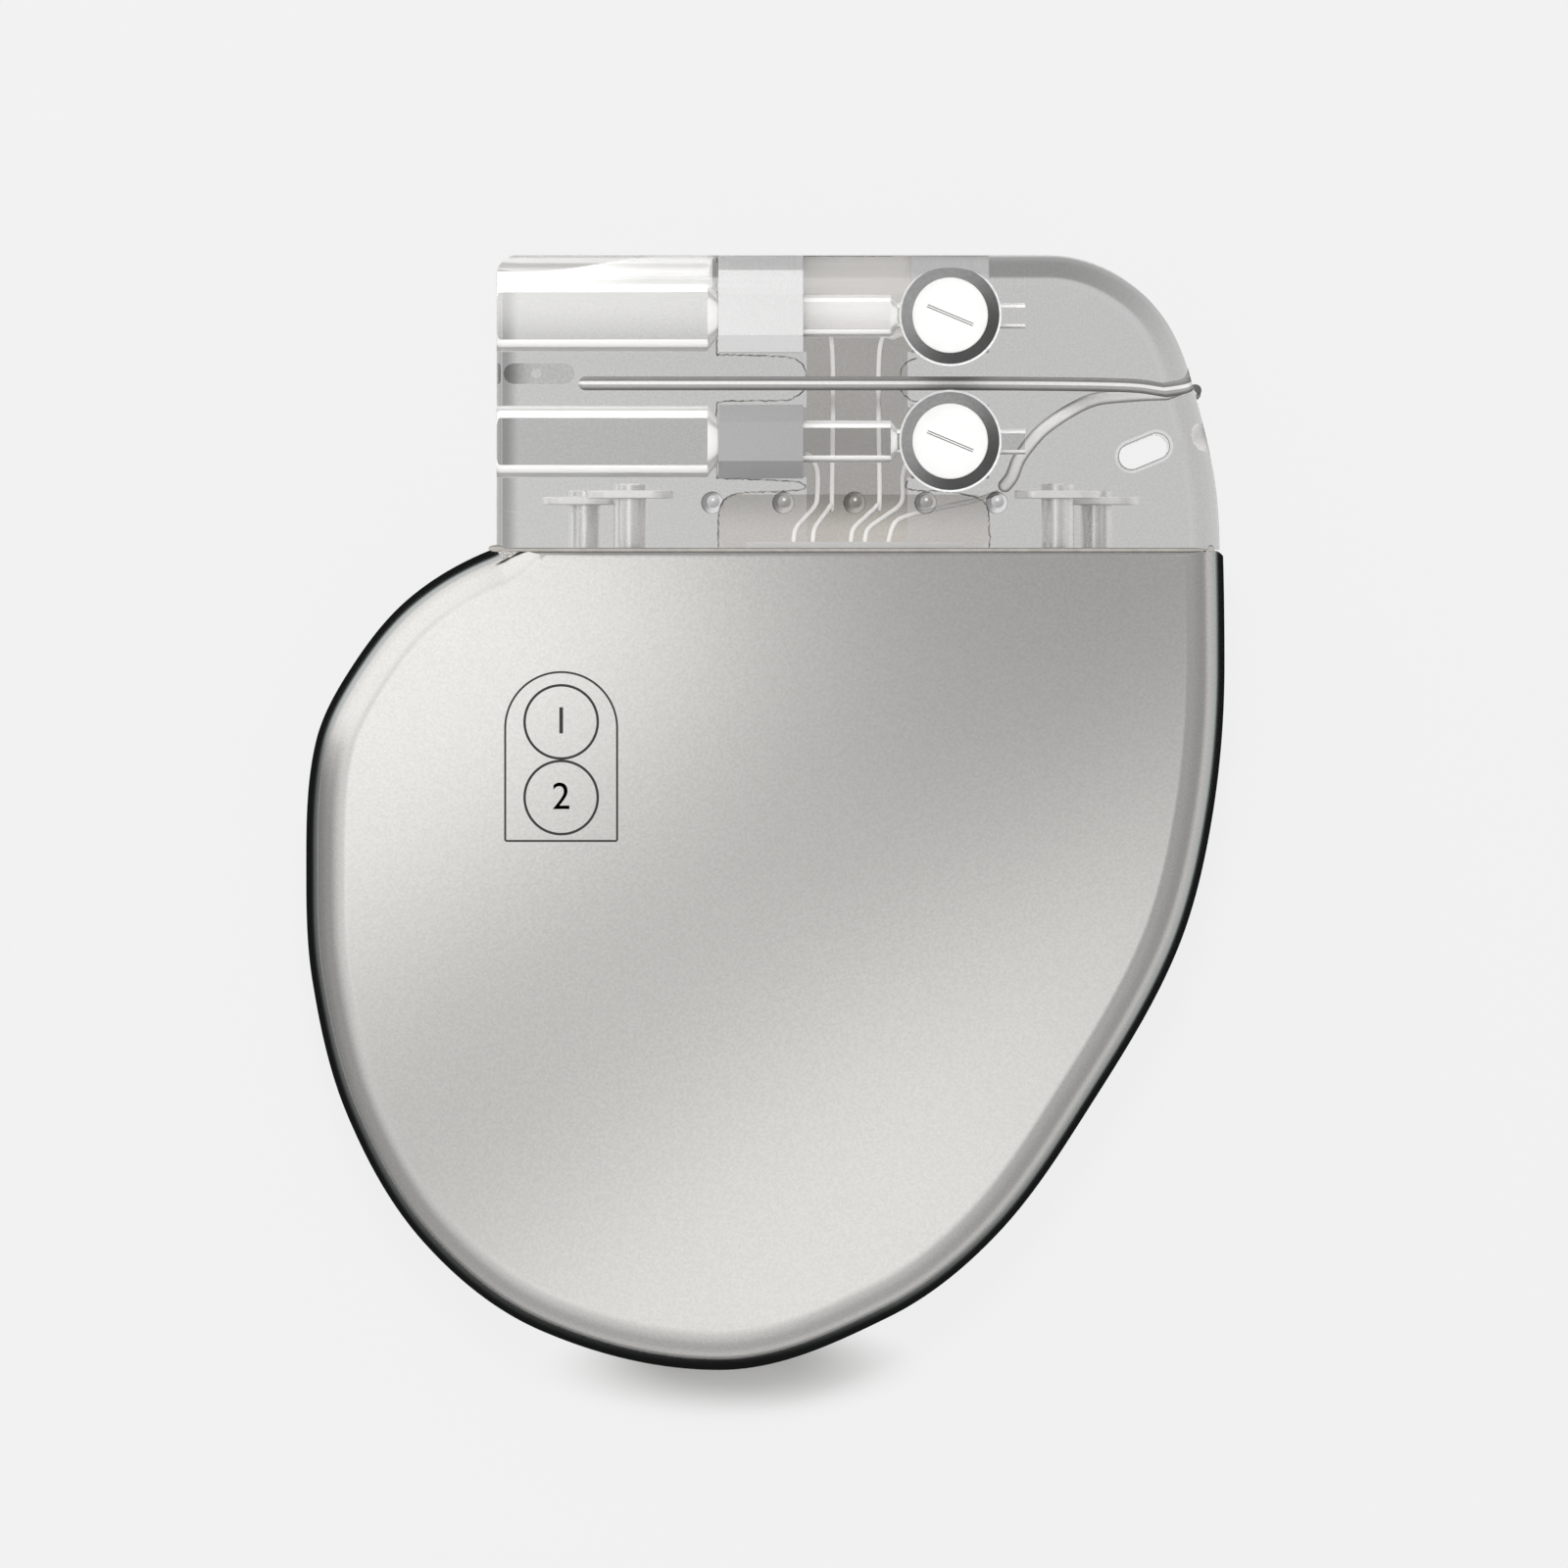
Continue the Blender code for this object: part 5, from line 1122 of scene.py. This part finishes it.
hooks = (
    (ring_right, rows["lower"] - RING_HOOK_DROP),
    (ring_right, rows["upper"] - RING_HOOK_DROP),
    (tip_left, rows["upper"] - TIP_HOOK_DROP),
    (tip_left, rows["lower"] - TIP_HOOK_DROP),
)
for i, (pin, column, (end_x, end_y)) in enumerate(zip(PIN_PLACES, COLUMN_PLACES, hooks), start=1):
    pin_x, column_x = flange_left + pin, flange_left + column
    route = [(pin_x, wire_start, mid_plane), (pin_x, can_top, mid_plane)]
    for height, aside in RISE_SHARES:
        y = can_top + RISE_START + height * (RISE_END - RISE_START)
        route.append((pin_x + aside * (column_x - pin_x), y, mid_plane + aside * (WIRE_PLANE - mid_plane)))
    route.append((column_x, end_y - HOOK_BEND, WIRE_PLANE))
    sag = end_y - HOOK_SAG_SHARE * HOOK_BEND
    route.append(((column_x + end_x) / 2, sag, (WIRE_PLANE + HOOK_PLANE) / 2))
    route.append((end_x, end_y, HOOK_PLANE))
    wire = tube(f"bright_wire_{i}", smooth_path(route, WIRE_STEPS), WIRE_R)
    finish_piece(wire, [bright_wire], [f"lead_wire_{i}"])

# Antenna
# A polished rod along the header's middle that turns back behind itself at the right side, with
# a thin feed wire from the fifth pin and a dark seal where its loop meets the surface.
ANTENNA_R = 0.335 * MM
ANTENNA_PLANE = 4.3 * MM
ANTENNA_BACK_PLANE = 1.7 * MM
ANTENNA_INDENT = 3.95 * MM
ANTENNA_FRONT_SHARES = ((0.26, 0.567), (0.49, 0.567), (0.72, 0.566), (0.87, 0.56), (0.92, 0.546))
ANTENNA_BEND_SHARES = (0.966, 0.535)
ANTENNA_BACK_SHARES = (
    (0.758, 0.534), (0.636, 0.528), (0.513, 0.515), (0.416, 0.478), (0.319, 0.422), (0.262, 0.373),
    (0.211, 0.312), (0.18, 0.249), (0.137, 0.206),
)
BEHIND_LEVELS = (3.4 * MM, 2.6 * MM)
DOME_STEPS = 8
FEED_GAP = 0.1 * MM
FEED_SHARES = ((0.779, 0.173), (0.578, 0.156), (0.358, 0.137), (0.189, 0.122), (0.059, 0.098))
SEAL_PLACE = (20.86 * MM, 20.50 * MM, 3.6 * MM)
SEAL_R = 0.3 * MM
flange_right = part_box("feedthrough_flange")[1].x


def behind_place(shares):
    x = flange_right + shares[0] * (header_high.x - flange_right)
    return (x, can_top + shares[1] * header_height, ANTENNA_BACK_PLANE)


middle = (ANTENNA_PLANE + ANTENNA_BACK_PLANE) / 2
bend_r = (ANTENNA_PLANE - ANTENNA_BACK_PLANE) / 2
half_way = bend_r * math.sqrt(0.5)
front = [(*header_at(shares), ANTENNA_PLANE) for shares in ANTENNA_FRONT_SHARES]
bend_x, bend_y = header_at(ANTENNA_BEND_SHARES)
shoulder = bend_x - bend_r + half_way
bend = [(shoulder, bend_y, middle + half_way), (bend_x, bend_y, middle)]
bend += [(shoulder, bend_y, middle - half_way)]
back = [behind_place(shares) for shares in ANTENNA_BACK_SHARES]
start = (port_face + ANTENNA_INDENT, front[0][1], ANTENNA_PLANE)
rod_path = smooth_path([start, *front, *bend, *back], WIRE_STEPS)
dome = [rod_path[0].lerp(rod_path[1], step / DOME_STEPS) for step in range(DOME_STEPS)]
# The rod's tint is painted light and shade: a painted highlight along its middle, painted shade at its edges.
polished, tree = new_material("polished_antenna")
place = object_place(tree)
facing = add(tree, "LayerWeight", {"Blend": 0.5}).outputs["Facing"]
tilt = along(tree, add(tree, "NewGeometry").outputs["Normal"], (0, 1, 0))
front_painted_light = blend(tree, ramp(tree, tilt, -0.22, -0.10), ramp(tree, tilt, -0.75, -0.45, 0.18, 0.42), 0.95)
front_painted_light = blend(tree, ramp(tree, tilt, 0.24, 0.40), front_painted_light, ramp(tree, tilt, 0.5, 0.95, 0.22, 0.33))
back_painted_light = ramp(tree, facing, 0.05, 0.5, 1.0, 0.40)
behind = ramp(tree, along(tree, place, (0, 0, 1)), *BEHIND_LEVELS)
tint = speckled(tree, (1.0, 0.99, 0.97), noise_of(tree, place, 6000.0, 2.0), 0.94, 1.0)
tint = scaled(tree, tint, blend(tree, behind, front_painted_light, back_painted_light))
inputs = {"Base Color": tint, "Metallic": 0.3, "Roughness": 0.3, "Normal": lifted(tree, 3.0)}
show(tree, add(tree, "BsdfPrincipled", inputs))
rod = tube("antenna", dome + rod_path[1:], ANTENNA_R, domed=True)
finish_piece(rod, [polished], ["antenna_rod"])

pin_x = flange_left + PIN_PLACES[-1]
end, before = Vector(back[-1]), Vector(back[-2])
route = [end + (end - before).normalized() * FEED_GAP]
for i, (aside, height) in enumerate(FEED_SHARES, start=1):
    plane = ANTENNA_BACK_PLANE + (i / len(FEED_SHARES)) ** 2 * (mid_plane - ANTENNA_BACK_PLANE)
    route.append((pin_x + aside * (end.x - pin_x), can_top + height * header_height, plane))
route += [(pin_x, y, mid_plane) for y in (can_top + RISE_START, can_top, wire_start)]
feed = tube("antenna_feed", smooth_path(route, WIRE_STEPS), WIRE_R)
finish_piece(feed, [bright_wire], ["antenna_feed_wire"])

bm = bmesh.new()
bmesh.ops.create_uvsphere(bm, u_segments=48, v_segments=24, radius=SEAL_R)
bmesh.ops.translate(bm, vec=SEAL_PLACE, verts=bm.verts)
seal = object_from("loop_seal", bm)
finish_piece(seal, [grained("seal_epoxy", (0.12, 0.12, 0.12), 0.3, size=0.05 * MM)])

# Anchors
# Four turned titanium posts, welded on the can's flat top. Each carries an oblong plate, and the
# moulding around them can't pull off.
POST_EDGE = 0.06 * MM
PLATE_EDGE = 0.07 * MM
post_titanium = grained("post_titanium", (0.77, 0.765, 0.755), 0.25, 0.8, size=0.04 * MM, contrast=0.06)
plate_titanium = grained("plate_titanium", (0.82, 0.815, 0.805), 0.35, 0.6, size=0.04 * MM, contrast=0.06)


def stand(obj, low, high):
    """Tip a piece made along Z, so that it stands along Y on the low end of its box."""
    foot = ((low.x + high.x) / 2, low.y, (low.z + high.z) / 2)
    obj.data.transform(Matrix.Translation(foot) @ Matrix.Rotation(-math.pi / 2, 4, "X"))


for spot in ("front_left", "front_right", "rear_left", "rear_right"):
    low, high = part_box(f"anchor_post_{spot}")
    radius, length = (high.x - low.x) / 2, high.y - low.y
    profile = [(0.0, 0.0), (radius, 0.0), (radius, length - POST_EDGE)]
    profile += [(radius - POST_EDGE, length), (0.0, length)]
    post = turned(f"post_{spot}", profile, (0.0, 0.0, 0.0))
    stand(post, low, high)
    finish_piece(post, [post_titanium], [f"anchor_post_{spot}"])
    low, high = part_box(f"anchor_plate_{spot}")
    shape = oblong((0.0, 0.0), high.x - low.x, high.z - low.z, 0.0)
    lying = plate(f"plate_{spot}", shape, 0.0, high.y - low.y, 0.0, PLATE_EDGE)
    stand(lying, low, high)
    finish_piece(lying, [plate_titanium], [f"anchor_plate_{spot}"])

# Identification tag
# A thin radiopaque strip with a round hole, slid into a slot in the port face. The header's clear
# front covers it, and its marks are left off.
TAG_FADE = (-13.0 * MM, -11.2 * MM)
tag, tree = new_material("tag_film")
place = object_place(tree)
tint = speckled(tree, (0.96, 0.96, 0.96), noise_of(tree, place, 7000.0, 2.0), 0.92, 1.0)
# Painted shade: the tag is painted darker towards its left end.
tint = scaled(tree, tint, ramp(tree, along(tree, place, (1, 0, 0)), *TAG_FADE, 0.55, 1.0))
show(tree, see_through(tree, tint))
dress(["id_tag"], tag)

# Port diagram
# A plain diagram of the two ports on the can's front: an arch with two numbered rings. A laser
# darkens the blasted face there, so it stands out by next to nothing.
MARK_THICK = 0.002 * MM
ARCH_MIDDLE = -9.877 * MM
ARCH_HALF_WIDTH = 2.707 * MM
ARCH_BOTTOM = -1.358 * MM
ARCH_SPRING = 4.10 * MM
ARCH_LINE = 0.1 * MM
ARCH_CORNER = 0.04 * MM
RING_ROWS = (4.40 * MM, 0.74 * MM)
RING_R = 1.77 * MM
RING_LINE = 0.125 * MM
DIGIT_HEIGHT = 1.3 * MM
DIGIT_SHARE = 0.7
mark = grained("laser_mark", (0.028, 0.027, 0.025), 0.45, size=0.03 * MM, contrast=0.3)
half = ARCH_HALF_WIDTH


def flat_line(name, points, width):
    """A closed flat line of this width on the can's face."""
    bm = bmesh.new()
    count = len(points)
    rims = []
    for i, point in enumerate(points):
        ahead = (Vector(points[(i + 1) % count]) - Vector(points[i - 1])).normalized()
        side = Vector((-ahead.y, ahead.x)) * width / 2
        corners = [(point[0] + s * side.x, point[1] + s * side.y, face_high) for s in (-1, 1)]
        rims.append([bm.verts.new(corner) for corner in corners])
    for i in range(count):
        a, b = rims[i], rims[(i + 1) % count]
        bm.faces.new((a[0], b[0], b[1], a[1]))
    drawn = bmesh.ops.extrude_face_region(bm, geom=bm.faces[:])
    top = [v for v in drawn["geom"] if isinstance(v, bmesh.types.BMVert)]
    bmesh.ops.translate(bm, vec=(0, 0, MARK_THICK), verts=top)
    bmesh.ops.recalc_face_normals(bm, faces=bm.faces)
    return object_from(name, bm)


def arc(centre, radius, start, end, steps):
    turns = [start + (end - start) * i / steps for i in range(steps)]
    return [(centre[0] + radius * math.cos(t), centre[1] + radius * math.sin(t)) for t in turns]


left_x, right_x = ARCH_MIDDLE - half, ARCH_MIDDLE + half
outline = [(left_x + ARCH_CORNER, ARCH_BOTTOM), (right_x - ARCH_CORNER, ARCH_BOTTOM)]
outline += [(right_x, ARCH_BOTTOM + ARCH_CORNER)]
outline += arc((ARCH_MIDDLE, ARCH_SPRING), half, 0.0, math.pi, ROUND_SIDES)
outline += [(left_x, ARCH_SPRING), (left_x, ARCH_BOTTOM + ARCH_CORNER)]
finish_piece(flat_line("port_arch", outline, ARCH_LINE), [mark])
for digit, ring_y in zip("12", RING_ROWS):
    ring = arc((ARCH_MIDDLE, ring_y), RING_R, 0.0, math.tau, ROUND_SIDES)
    finish_piece(flat_line(f"port_ring_{digit}", ring, RING_LINE), [mark])
    text = bpy.data.curves.new(f"digit_{digit}", "FONT")
    text.body = digit
    text.align_x = "CENTER"
    text.align_y = "CENTER"
    text.size = DIGIT_HEIGHT / DIGIT_SHARE
    text.extrude = MARK_THICK / 2
    letter = bpy.data.objects.new(f"digit_{digit}", text)
    letter.location = (ARCH_MIDDLE, ring_y, face_high + MARK_THICK / 2)
    finish_piece(as_mesh(letter), [mark])
